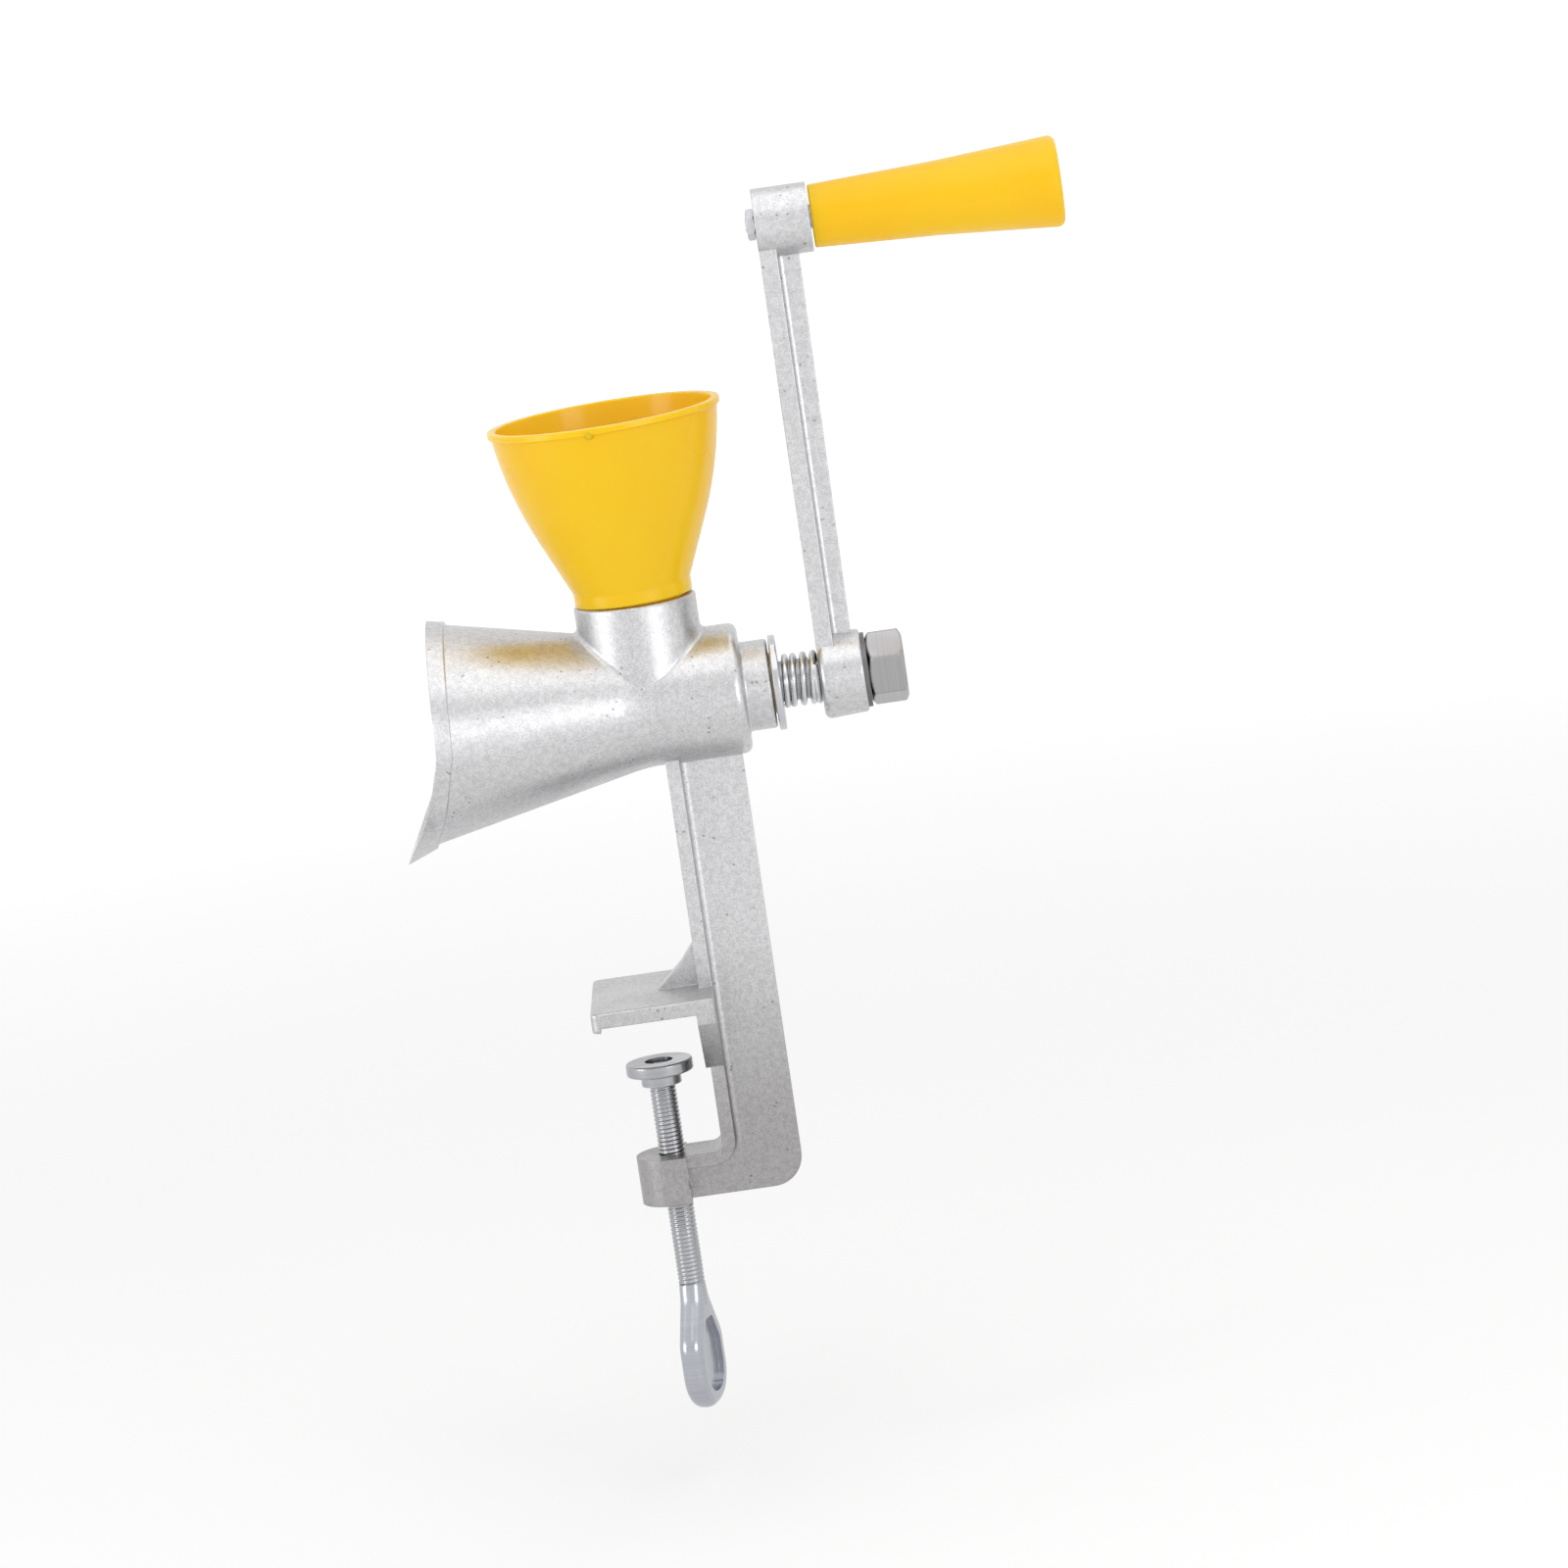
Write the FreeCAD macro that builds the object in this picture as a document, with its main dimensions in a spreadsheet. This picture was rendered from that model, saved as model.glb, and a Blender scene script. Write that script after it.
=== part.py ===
import FreeCAD, Part
import math
import os
from types import SimpleNamespace

import Sketcher
from FreeCAD import Placement, Rotation, Vector

# Hand crank peanut grinder: a die-cast mill with a push-in funnel, clamped under a table edge.
#
# Frame, in millimetres: the origin is where the clamp screw's axis meets the table seat, the
# underside of the upper jaw. +Z is up, +X points to the crank and -X to the mouth. The barrel's
# axis runs along X at axis_height, and the parts that share it are modelled about it and lifted
# there by their Placement.

doc = FreeCAD.newDocument("peanut_grinder")

# How far cuts and joined blocks run past the faces that they meet
OVER = 1.0
# The chamfer on a nut's corners stands at 30 degrees to its face
NUT_CHAMFER = math.tan(math.radians(30))

# ---------------------------------------------------------------------------------------------
# Driving dimensions
# ---------------------------------------------------------------------------------------------

DRIVING_SIZES = {
    # The mill's main axes
    "axis_height": 90.0,
    "hopper_x": 13.0,
    # The barrel casting, by its X stations and radii
    "neck_end_x": 49.3,
    "neck_radius": 13.2,
    "barrel_rear_x": 41.2,
    "barrel_radius": 19.3,
    "rear_edge_round": 2.5,
    "cone_start_x": 10.0,
    "cone_blend": 40.0,
    "cone_end_x": 66.0,
    "cone_end_radius": 35.5,
    "casting_edge": 0.8,
    # The hopper collar on top of the barrel
    "collar_radius": 18.0,
    "collar_height": 30.4,
    "collar_bore": 15.5,
    "collar_seat_depth": 9.0,
    "throat_radius": 13.4,
    "saddle_round": 1.6,
    # The slanted mouth: its front edge and the band behind it, as X and height from the axis
    "mouth_top_x": 48.0,
    "mouth_middle_x": 49.4,
    "mouth_middle_drop": 3.0,
    "mouth_lower_x": 53.6,
    "mouth_lower_drop": 18.3,
    "mouth_tip_x": 66.3,
    "mouth_reach": 42.0,
    "band_top_x": 42.8,
    "band_middle_x": 44.7,
    "band_lower_x": 49.0,
    "band_lower_drop": 20.0,
    "band_tip_x": 58.0,
    "band_bend": 22.0,
    "band_start_radius": 31.0,
    "band_crest_x": 52.5,
    "band_crest_radius": 33.3,
    "band_end_radius": 38.6,
    # The hollow of the barrel
    "chamber_end_x": 37.0,
    "chamber_radius": 15.4,
    "ring_front_x": 44.5,
    "ring_front_radius": 26.4,
    "mouth_inner_radius": 27.9,
    "mouth_inner_end": 33.6,
    "mouth_step": 1.2,
    "neck_bore": 9.0,
    # The post with its T-section, and the clamp jaws
    "post_face_x": 15.2,
    "flange_thickness": 4.0,
    "flange_width": 17.5,
    "web_thickness": 6.0,
    "post_rear_top_x": 37.8,
    "post_rear_foot_x": 37.9,
    "post_foot_round": 9.0,
    "inner_corner_round": 3.0,
    "web_fillet": 2.0,
    "jaw_gap": 45.1,
    "jaw_depth": 14.0,
    "plate_tip_x": 17.0,
    "plate_width": 52.5,
    "plate_thickness": 4.5,
    "plate_corner": 2.4,
    "lip_depth": 1.5,
    "lip_length": 2.5,
    "wing_drop": 19.5,
    "wing_shoulder": 3.0,
    "wing_face_x": 13.8,
    "gusset_foot_x": 3.0,
    "gusset_height": 12.5,
    "gusset_bow": 4.3,
    "gusset_bow_height": 7.0,
    "gusset_curve": 14.0,
    "lug_radius": 10.8,
    "lug_round": 10.6,
    "pip_x": 8.0,
    "pip_radius": 4.2,
    "screw_hole": 4.0,
    # The funnel, from its shoulder upwards
    "funnel_gap": 0.45,
    "funnel_lean": 1.2,
    "spigot_radius": 15.25,
    "spigot_tip_radius": 15.0,
    "spigot_depth": 8.0,
    "shoulder_radius": 17.4,
    "shoulder_height": 4.0,
    "swell_radius": 31.15,
    "swell_height": 35.6,
    "swell_curve": 115.0,
    "rim_radius": 33.4,
    "rim_height": 54.9,
    "bead_height": 2.0,
    "bead_width": 0.9,
    "funnel_wall": 1.5,
    "swell_tilt": 16.3,
    "spigot_step": 1.0,
    "shoulder_round": 1.0,
    "inner_shoulder_round": 3.0,
    "moulding_edge": 0.5,
    "bead_round": 0.4,
    # The grinding ring pressed into the cone, and the toothed cone that turns in it
    "ring_rear_x": 20.0,
    "ring_rear_radius": 20.80,
    "ring_front_outer": 26.34,
    "ring_setback": 0.1,
    "ring_rear_tip": 16.8,
    "ring_front_tip": 22.1,
    "ring_tooth_depth": 1.7,
    "ring_teeth": 20.0,
    "ring_groove_share": 0.12,
    "burr_front_x": 44.4,
    "burr_front_radius": 21.65,
    "burr_rear_x": 13.0,
    "burr_rear_radius": 14.7,
    "burr_tooth_depth": 2.0,
    "burr_teeth": 10.0,
    "burr_twist": 48.0,
    "burr_land_share": 0.34,
    "burr_valley_share": 0.78,
    "burr_bore": 5.02,
    "dish_outer": 17.5,
    "dish_inner": 10.5,
    "dish_depth": 5.0,
    # The shaft with its feed auger
    "shaft_setback": 0.1,
    "journal_radius": 5.0,
    "core_radius": 8.0,
    "core_end_x": 36.9,
    "drive_radius": 6.0,
    "shaft_end_x": 88.0,
    "shaft_chamfer": 1.0,
    "square_size": 9.6,
    "square_start_x": 60.8,
    "square_end_x": 78.3,
    "flight_radius": 14.6,
    "flight_start_x": 11.0,
    "flight_root": 3.0,
    "flight_crest": 1.8,
    "flight_pitch": 14.7,
    "flight_turns": 3.0,
    "flight_sink": 0.6,
    "burr_thread": 3.02,
    # The rotor's washer and screw, at the mouth
    "burr_washer_radius": 9.0,
    "burr_washer_thickness": 1.5,
    "burr_screw_radius": 3.0,
    "burr_screw_reach": 14.0,
    "burr_head_flats": 10.0,
    "burr_head_height": 4.0,
    # The bush, thrust washer and spring behind the barrel
    "bush_start_x": 37.2,
    "bush_inner": 6.05,
    "bush_end_x": 49.8,
    "thrust_radius": 14.1,
    "thrust_inner": 6.3,
    "thrust_end_x": 52.0,
    "thrust_round": 0.5,
    "spring_start_x": 52.05,
    "spring_end_x": 63.5,
    "spring_radius": 7.1,
    "spring_wire": 1.75,
    # The crank
    "crank_x": 63.6,
    "crank_throw": 133.9,
    "hub_radius": 12.9,
    "hub_end_radius": 12.2,
    "hub_length": 13.0,
    "hub_round": 2.0,
    "eye_radius": 10.25,
    "eye_length": 16.0,
    "arm_foot_width": 17.0,
    "arm_head_width": 14.0,
    "arm_flange": 5.2,
    "arm_depth_foot": 10.7,
    "arm_depth_head": 11.6,
    "arm_rib": 5.0,
    "arm_fillet": 1.5,
    "arm_foot_height": 4.0,
    "rib_foot_height": 8.0,
    "rib_head_gap": 5.0,
    "square_hole": 9.7,
    "bolt_hole": 2.55,
    "crank_washer_radius": 11.0,
    "crank_washer_bore": 6.1,
    "crank_washer_thickness": 1.3,
    "nut_start_x": 77.95,
    "nut_end_x": 88.8,
    "nut_flats": 19.0,
    "nut_bore": 6.05,
    "nut_turned": 5.0,
    "nut_face_radius": 9.1,
    # The grip and the bolt that it turns on
    "grip_start_x": 80.1,
    "grip_end_x": 153.0,
    "grip_small_radius": 9.25,
    "grip_waist_x": 117.0,
    "grip_waist_radius": 10.85,
    "grip_large_radius": 13.5,
    "grip_curve": 200.0,
    "grip_round": 2.2,
    "grip_small_round": 0.6,
    "grip_bore": 3.58,
    "recess_radius": 7.6,
    "recess_round": 0.8,
    "recess_floor_x": 141.7,
    "bolt_shank": 3.5,
    "bolt_thread": 2.5,
    "bolt_tip_x": 60.9,
    "bolt_chamfer": 0.5,
    "bolt_seat_gap": 0.05,
    "bolt_washer_x": 142.0,
    "bolt_washer_radius": 7.0,
    "bolt_washer_thickness": 0.8,
    "bolt_head_radius": 6.0,
    "bolt_head_height": 3.5,
    "bolt_head_round": 1.0,
    "slot_width": 1.4,
    "slot_depth": 1.75,
    "lock_nut_flats": 8.0,
    "lock_nut_height": 2.45,
    "lock_nut_bore": 2.52,
    "lock_nut_face_radius": 3.92,
    # The clamp screw, its swivel pad and its wing
    "screw_radius": 3.95,
    "screw_top": 24.05,
    "screw_foot": 92.2,
    "neck_pin_radius": 2.5,
    "rivet_radius": 3.2,
    "rivet_underside": 19.5,
    "rivet_top": 18.0,
    "rivet_round": 1.0,
    "pad_top": 17.0,
    "pad_rim": 20.6,
    "pad_foot": 24.0,
    "pad_radius": 10.0,
    "pad_hub_radius": 6.0,
    "pad_bore": 2.55,
    "pad_recess_radius": 4.2,
    "pad_recess_floor": 19.6,
    "pad_hub_round": 1.0,
    "pad_round": 0.6,
    "wing_top": 85.2,
    "wing_foot": 123.2,
    "wing_neck": 4.2,
    "wing_flare": 1.0,
    "wing_flare_drop": 4.5,
    "wing_wide_drop": 17.0,
    "wing_curve": 9.0,
    "wing_round_share": 0.9,
    "wing_half_width": 12.3,
    "wing_thickness": 7.2,
    "wing_rim": 4.6,
    "wing_recess": 1.7,
    "recess_top": 96.2,
    "recess_top_half": 3.2,
    "recess_top_round": 2.5,
    "recess_wide": 104.2,
    "wing_rounding": 3.2,
    "wing_turned": -17.0,
}

sheet = doc.addObject("Spreadsheet::Sheet", "Sizes")
for row, (alias, value) in enumerate(DRIVING_SIZES.items(), 1):
    sheet.set(f"A{row}", alias)
    sheet.set(f"B{row}", str(value))
    sheet.setAlias(f"B{row}", alias)
doc.recompute()


class Size:
    """A size together with the spreadsheet expression that gives it, so that sums keep both."""

    def __init__(self, value, text):
        self.value = value
        self.text = text

    def __add__(self, other):
        return Size(self.value + number(other), f"({self.text} + {text(other)})")

    def __radd__(self, other):
        return self + other

    def __sub__(self, other):
        return Size(self.value - number(other), f"({self.text} - {text(other)})")

    def __rsub__(self, other):
        return Size(number(other) - self.value, f"({text(other)} - {self.text})")

    def __mul__(self, factor):
        return Size(self.value * number(factor), f"({self.text} * {text(factor)})")

    def __rmul__(self, factor):
        return self * factor

    def __truediv__(self, factor):
        return Size(self.value / number(factor), f"({self.text} / {text(factor)})")

    def __neg__(self):
        return Size(-self.value, f"(0 - {self.text})")


def number(size):
    """The plain number of a Size or of a number."""
    return size.value if isinstance(size, Size) else float(size)


def text(size):
    """The expression of a Size or of a number."""
    return size.text if isinstance(size, Size) else repr(float(size))


dim = SimpleNamespace(**{alias: Size(float(getattr(sheet, alias)), f"Sizes.{alias}")
                         for alias in DRIVING_SIZES})


# ---------------------------------------------------------------------------------------------
# Drawing and feature helpers
# ---------------------------------------------------------------------------------------------

def bind(feature, path, size):
    """Tie a property of a feature to the spreadsheet."""
    feature.setExpression(path, text(size))


def new_body(label, height=None):
    """A body named as its part; height lifts it, as for the parts on the barrel's axis."""
    body = doc.addObject("PartDesign::Body", label)
    body.Label = label
    if height is not None:
        bind(body, "Placement.Base.z", height)
    return body


def new_sketch(body, name, plane, offset=0.0, raised=0.0):
    """A sketch on an origin plane, moved along the plane's normal and up within the plane."""
    sketch = body.newObject("Sketcher::SketchObject", name)
    origin_plane = next(item for item in body.Origin.OriginFeatures if item.Role == plane)
    sketch.AttachmentSupport = [(origin_plane, "")]
    sketch.MapMode = "FlatFace"
    bind(sketch, "AttachmentOffset.Base.z", offset)
    bind(sketch, "AttachmentOffset.Base.y", raised)
    return sketch


def place_point(sketch, geometry, end, u, v):
    """Fix one point of a sketch at (u, v), each a Size or a number."""
    for kind, axis, size in (("DistanceX", -2, u), ("DistanceY", -1, v)):
        if number(size) == 0.0:
            sketch.addConstraint(Sketcher.Constraint("PointOnObject", geometry, end, axis))
            continue
        index = sketch.addConstraint(
            Sketcher.Constraint(kind, -1, 1, geometry, end, number(size)))
        if isinstance(size, Size):
            bind(sketch, f"Constraints[{index}]", size)


def outline(sketch, corners):
    """A closed outline through corners (u, v), or (u, v, radius) where the corner is rounded."""
    points = [Vector(number(corner[0]), number(corner[1]), 0) for corner in corners]
    count = len(points)
    rounds = []
    for index, corner in enumerate(corners):
        point = points[index]
        if len(corner) < 3:
            rounds.append(None)
            continue
        back = (points[index - 1] - point).normalize()
        ahead = (points[(index + 1) % count] - point).normalize()
        half = back.getAngle(ahead) / 2
        radius = number(corner[2])
        reach = radius / math.tan(half)
        bisector = (back + ahead).normalize()
        rounds.append(SimpleNamespace(enter=point + back * reach, leave=point + ahead * reach,
                                      middle=point + bisector * (radius / math.sin(half) - radius)))
    starts = [arc.leave if arc else points[index] for index, arc in enumerate(rounds)]
    ends = [arc.enter if arc else points[index] for index, arc in enumerate(rounds)]
    sides = [sketch.addGeometry(Part.LineSegment(starts[index], ends[(index + 1) % count]), False)
             for index in range(count)]
    for index, corner in enumerate(corners):
        before, after, arc = sides[index - 1], sides[index], rounds[index]
        if arc is None:
            sketch.addConstraint(Sketcher.Constraint("Coincident", before, 2, after, 1))
            place_point(sketch, after, 1, corner[0], corner[1])
            continue
        curve = sketch.addGeometry(Part.Arc(arc.enter, arc.middle, arc.leave), False)
        starts_here = sketch.getPoint(curve, 1).distanceToPoint(arc.enter) < 1e-5
        first, last = (1, 2) if starts_here else (2, 1)
        sketch.addConstraint(Sketcher.Constraint("Tangent", before, 2, curve, first))
        sketch.addConstraint(Sketcher.Constraint("Tangent", curve, last, after, 1))
        held = sketch.addConstraint(Sketcher.Constraint("Radius", curve, number(corner[2])))
        bind(sketch, f"Constraints[{held}]", corner[2])
        apex = sketch.addGeometry(Part.Point(points[index]), True)
        sketch.addConstraint(Sketcher.Constraint("PointOnObject", apex, 1, before))
        sketch.addConstraint(Sketcher.Constraint("PointOnObject", apex, 1, after))
        place_point(sketch, apex, 1, corner[0], corner[1])


def circle(sketch, u, v, radius):
    """A circle in a sketch."""
    centre = Vector(number(u), number(v), 0)
    ring = sketch.addGeometry(Part.Circle(centre, Vector(0, 0, 1), number(radius)), False)
    place_point(sketch, ring, 3, u, v)
    held = sketch.addConstraint(Sketcher.Constraint("Radius", ring, number(radius)))
    bind(sketch, f"Constraints[{held}]", radius)


def hexagon(sketch, flats):
    """A hexagon about the sketch's origin, with two of its flats square to the first axis."""
    half = flats / 2
    corner = flats / math.sqrt(3)
    outline(sketch, [(half, corner / 2), (0, corner), (-half, corner / 2),
                     (-half, -corner / 2), (0, -corner), (half, -corner / 2)])


def pad(body, name, sketch, length, centred=False):
    """Add an extrusion of the sketch along its normal, or to both sides of it."""
    feature = body.newObject("PartDesign::Pad", name)
    feature.Profile = sketch
    feature.SideType = "Symmetric" if centred else "One side"
    bind(feature, "Length", length)
    return feature


def revolve(body, name, sketch, axis="H_Axis"):
    """Add a full revolution of the sketch about one of its axes."""
    feature = body.newObject("PartDesign::Revolution", name)
    feature.Profile = sketch
    feature.ReferenceAxis = (sketch, [axis])
    return feature


def remove(body, kind, name, sketch, length=None, centred=False, reverse=False, axis="H_Axis"):
    """Cut with a Pocket or a Groove, and make sure that it takes material away."""
    doc.recompute()
    before = body.Shape.Volume
    feature = body.newObject(f"PartDesign::{kind}", name)
    feature.Profile = sketch
    if kind == "Groove":
        feature.ReferenceAxis = (sketch, [axis])
    else:
        feature.SideType = "Symmetric" if centred else "One side"
        feature.Reversed = reverse
        bind(feature, "Length", length)
    doc.recompute()
    if body.Shape.Volume >= before - 0.01:
        raise RuntimeError(f"{name} takes nothing away from {body.Label}")
    return feature


def within(edge, low, high):
    """Whether an edge lies in the box from low to high; a None leaves that side open."""
    box = edge.BoundBox
    lows = (box.XMin, box.YMin, box.ZMin)
    highs = (box.XMax, box.YMax, box.ZMax)
    slack = 0.01
    above = all(limit is None or value >= number(limit) - slack for value, limit in zip(lows, low))
    below = all(limit is None or value <= number(limit) + slack for value, limit in zip(highs, high))
    return above and below


def round_edges(body, name, radius, *boxes):
    """Fillet the edges of the body that lie in any of the boxes, each a (low, high) pair."""
    doc.recompute()
    tip = body.Tip
    names = [f"Edge{index}" for index, edge in enumerate(tip.Shape.Edges, 1)
             if any(within(edge, low, high) for low, high in boxes)]
    feature = body.newObject("PartDesign::Fillet", name)
    feature.Base = (tip, names)
    bind(feature, "Radius", radius)
    doc.recompute()
    if not names or not feature.isValid():
        raise RuntimeError(f"{name} rounds nothing on {body.Label}")
    return feature


def repeat(body, name, feature, count, axis="X_Axis"):
    """Repeat a feature evenly about one of the body's own axes."""
    pattern = body.newObject("PartDesign::PolarPattern", name)
    pattern.Originals = [feature]
    origin_axis = next(item for item in body.Origin.OriginFeatures if item.Role == axis)
    pattern.Axis = (origin_axis, [""])
    pattern.Angle = 360
    bind(pattern, "Occurrences", count)
    body.Tip = pattern
    doc.recompute()
    return pattern


# ---------------------------------------------------------------------------------------------
# The mill body: one casting of barrel, collar, post and clamp jaws
# ---------------------------------------------------------------------------------------------

def mouth_front():
    """The mouth's front edge seen from the side, from its top to below the lip."""
    return [(-dim.mouth_top_x, dim.mouth_reach),
            (-dim.mouth_middle_x, -dim.mouth_middle_drop, dim.band_bend),
            (-dim.mouth_lower_x, -dim.mouth_lower_drop, dim.band_bend * 3),
            (-dim.mouth_tip_x, -dim.mouth_reach)]


def band_rear():
    """The rear edge of the raised band round the mouth, from its top to below the lip."""
    return [(-dim.band_top_x, dim.mouth_reach),
            (-dim.band_middle_x, -dim.mouth_middle_drop, dim.band_bend),
            (-dim.band_lower_x, -dim.band_lower_drop, dim.band_bend * 3),
            (-dim.band_tip_x, -dim.mouth_reach)]


def make_casting():
    """The solid form of the casting, before it is hollowed."""
    body = new_body("casting_form")
    rear_x = dim.post_face_x + dim.flange_thickness
    jaw_foot = -(dim.jaw_gap + dim.jaw_depth)

    barrel = new_sketch(body, "barrel_profile", "XZ_Plane", raised=dim.axis_height)
    outline(barrel, [(dim.neck_end_x, 0),
                     (dim.neck_end_x, dim.neck_radius, dim.casting_edge),
                     (dim.barrel_rear_x, dim.neck_radius, dim.casting_edge),
                     (dim.barrel_rear_x, dim.barrel_radius, dim.rear_edge_round),
                     (dim.cone_start_x, dim.barrel_radius, dim.cone_blend),
                     (-dim.cone_end_x, dim.cone_end_radius),
                     (-dim.cone_end_x, 0)])
    revolve(body, "barrel", barrel)

    collar = new_sketch(body, "collar_circle", "XY_Plane", offset=dim.axis_height)
    circle(collar, dim.hopper_x, 0, dim.collar_radius)
    pad(body, "collar", collar, dim.collar_height)
    saddle_top = dim.axis_height + dim.collar_height - OVER
    round_edges(body, "saddle_fillet", dim.saddle_round,
                ((dim.hopper_x - dim.collar_radius - OVER, None, dim.axis_height + OVER),
                 (dim.hopper_x + dim.collar_radius + OVER, None, saddle_top)))
    round_edges(body, "collar_edge", dim.casting_edge,
                ((None, None, saddle_top), (None, None, None)))

    flange = new_sketch(body, "flange_profile", "XZ_Plane")
    outline(flange, [(dim.post_face_x, dim.axis_height - dim.chamber_radius),
                     (dim.post_face_x, -dim.jaw_gap, dim.inner_corner_round),
                     (0, -dim.jaw_gap),
                     (0, -(dim.jaw_gap + dim.flange_thickness)),
                     (rear_x, -(dim.jaw_gap + dim.flange_thickness),
                      dim.inner_corner_round + dim.flange_thickness),
                     (rear_x, dim.axis_height - dim.chamber_radius)])
    pad(body, "flange", flange, dim.flange_width, centred=True)

    web = new_sketch(body, "web_profile", "XZ_Plane")
    outline(web, [(dim.post_face_x + OVER, dim.axis_height - dim.chamber_radius),
                  (dim.post_rear_top_x, dim.axis_height - dim.chamber_radius),
                  (dim.post_rear_foot_x, jaw_foot, dim.post_foot_round),
                  (0, jaw_foot),
                  (0, -(dim.jaw_gap + OVER)),
                  (dim.post_face_x + OVER, -(dim.jaw_gap + OVER), dim.inner_corner_round)])
    pad(body, "web", web, dim.web_thickness, centred=True)
    half_web = dim.web_thickness / 2
    post_top = dim.axis_height - dim.barrel_radius
    for side, y in (("near", -half_web), ("far", half_web)):
        round_edges(body, f"web_fillet_{side}", dim.web_fillet,
                    ((rear_x - 0.1, y - 0.1, -dim.jaw_gap), (rear_x + 0.1, y + 0.1, post_top + OVER)))

    half_plate = dim.plate_width / 2
    half_flange = dim.flange_width / 2
    plate = new_sketch(body, "plate_plan", "XY_Plane")
    outline(plate, [(rear_x, -half_plate), (rear_x, half_plate),
                    (-dim.plate_tip_x, half_plate, dim.plate_corner),
                    (-dim.plate_tip_x, -half_plate, dim.plate_corner)])
    pad(body, "upper_jaw", plate, dim.plate_thickness)
    lip = new_sketch(body, "lip_plan", "XY_Plane", offset=-dim.lip_depth)
    lip_rear_x = -(dim.plate_tip_x - dim.lip_length)
    outline(lip, [(lip_rear_x, -half_plate), (lip_rear_x, half_plate),
                  (-dim.plate_tip_x, half_plate, dim.plate_corner),
                  (-dim.plate_tip_x, -half_plate, dim.plate_corner)])
    pad(body, "jaw_lip", lip, dim.lip_depth + OVER)
    top = dim.plate_thickness
    round_edges(body, "plate_edges", dim.casting_edge,
                ((None, half_plate - dim.plate_corner, top), (None, None, top)),
                ((None, None, top), (None, -half_plate + dim.plate_corner, top)),
                ((None, None, top), (-dim.plate_tip_x, None, top)),
                ((None, None, -dim.lip_depth), (-dim.plate_tip_x, None, -dim.lip_depth)))

    wings = new_sketch(body, "wing_outline", "YZ_Plane", offset=dim.wing_face_x)
    outline(wings, [(half_plate, dim.plate_thickness), (half_plate, -dim.wing_shoulder),
                    (half_flange, -dim.wing_drop),
                    (-half_flange, -dim.wing_drop),
                    (-half_plate, -dim.wing_shoulder), (-half_plate, dim.plate_thickness)])
    pad(body, "jaw_wings", wings, rear_x - dim.wing_face_x)

    gusset = new_sketch(body, "gusset_profile", "XZ_Plane")
    outline(gusset, [(dim.post_face_x + OVER, dim.plate_thickness - OVER),
                     (dim.gusset_foot_x, dim.plate_thickness - OVER),
                     (dim.gusset_foot_x, dim.plate_thickness),
                     (dim.post_face_x - dim.gusset_bow, dim.plate_thickness + dim.gusset_bow_height,
                      dim.gusset_curve),
                     (dim.post_face_x, dim.plate_thickness + dim.gusset_height),
                     (dim.post_face_x + OVER, dim.plate_thickness + dim.gusset_height)])
    pad(body, "gusset", gusset, dim.web_thickness, centred=True)

    lug = new_sketch(body, "lug_outline", "XY_Plane", offset=jaw_foot)
    outline(lug, [(dim.pip_radius, -dim.lug_radius), (dim.pip_radius, dim.lug_radius),
                  (-dim.lug_radius, dim.lug_radius, dim.lug_round),
                  (-dim.lug_radius, -dim.lug_radius, dim.lug_round)])
    pad(body, "lug", lug, dim.jaw_depth)

    side_cut = (dim.plate_width - dim.web_thickness) / 2
    for side, offset in (("near", dim.web_thickness / 2),
                         ("far", -(dim.web_thickness / 2 + side_cut))):
        pip = new_sketch(body, f"pip_{side}", "XZ_Plane", offset=offset)
        circle(pip, dim.pip_x, -(dim.jaw_gap + dim.flange_thickness + dim.pip_radius),
               dim.pip_radius)
        remove(body, "Pocket", f"lug_hollow_{side}", pip, side_cut, reverse=True)

    return body


def make_band():
    """The raised band that runs round the mouth and curls out into the pouring lip."""
    body = new_body("mouth_band")
    ring = new_sketch(body, "band_profile", "XZ_Plane", raised=dim.axis_height)
    outline(ring, [(-dim.band_top_x + 2 * OVER, dim.chamber_radius),
                   (-dim.band_top_x + 2 * OVER, dim.band_start_radius),
                   (-dim.band_crest_x, dim.band_crest_radius, dim.band_bend),
                   (-dim.cone_end_x, dim.band_end_radius),
                   (-dim.cone_end_x, dim.chamber_radius)])
    revolve(body, "band_ring", ring)
    rear = new_sketch(body, "band_rear_line", "XZ_Plane", raised=dim.axis_height)
    outline(rear, band_rear() + [(-dim.gusset_foot_x, -dim.mouth_reach),
                                 (-dim.gusset_foot_x, dim.mouth_reach)])
    remove(body, "Pocket", "band_rear_cut", rear, dim.mouth_reach * 2, centred=True)
    return body


def make_mouth_cut():
    """The space in front of the slanted mouth."""
    body = new_body("mouth_space")
    front = new_sketch(body, "mouth_line", "XZ_Plane", raised=dim.axis_height)
    outline(front, mouth_front() + [(-dim.cone_end_x - dim.mouth_tip_x, -dim.mouth_reach),
                                    (-dim.cone_end_x - dim.mouth_tip_x, dim.mouth_reach)])
    pad(body, "mouth_block", front, dim.mouth_reach * 2, centred=True)
    return body


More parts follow.
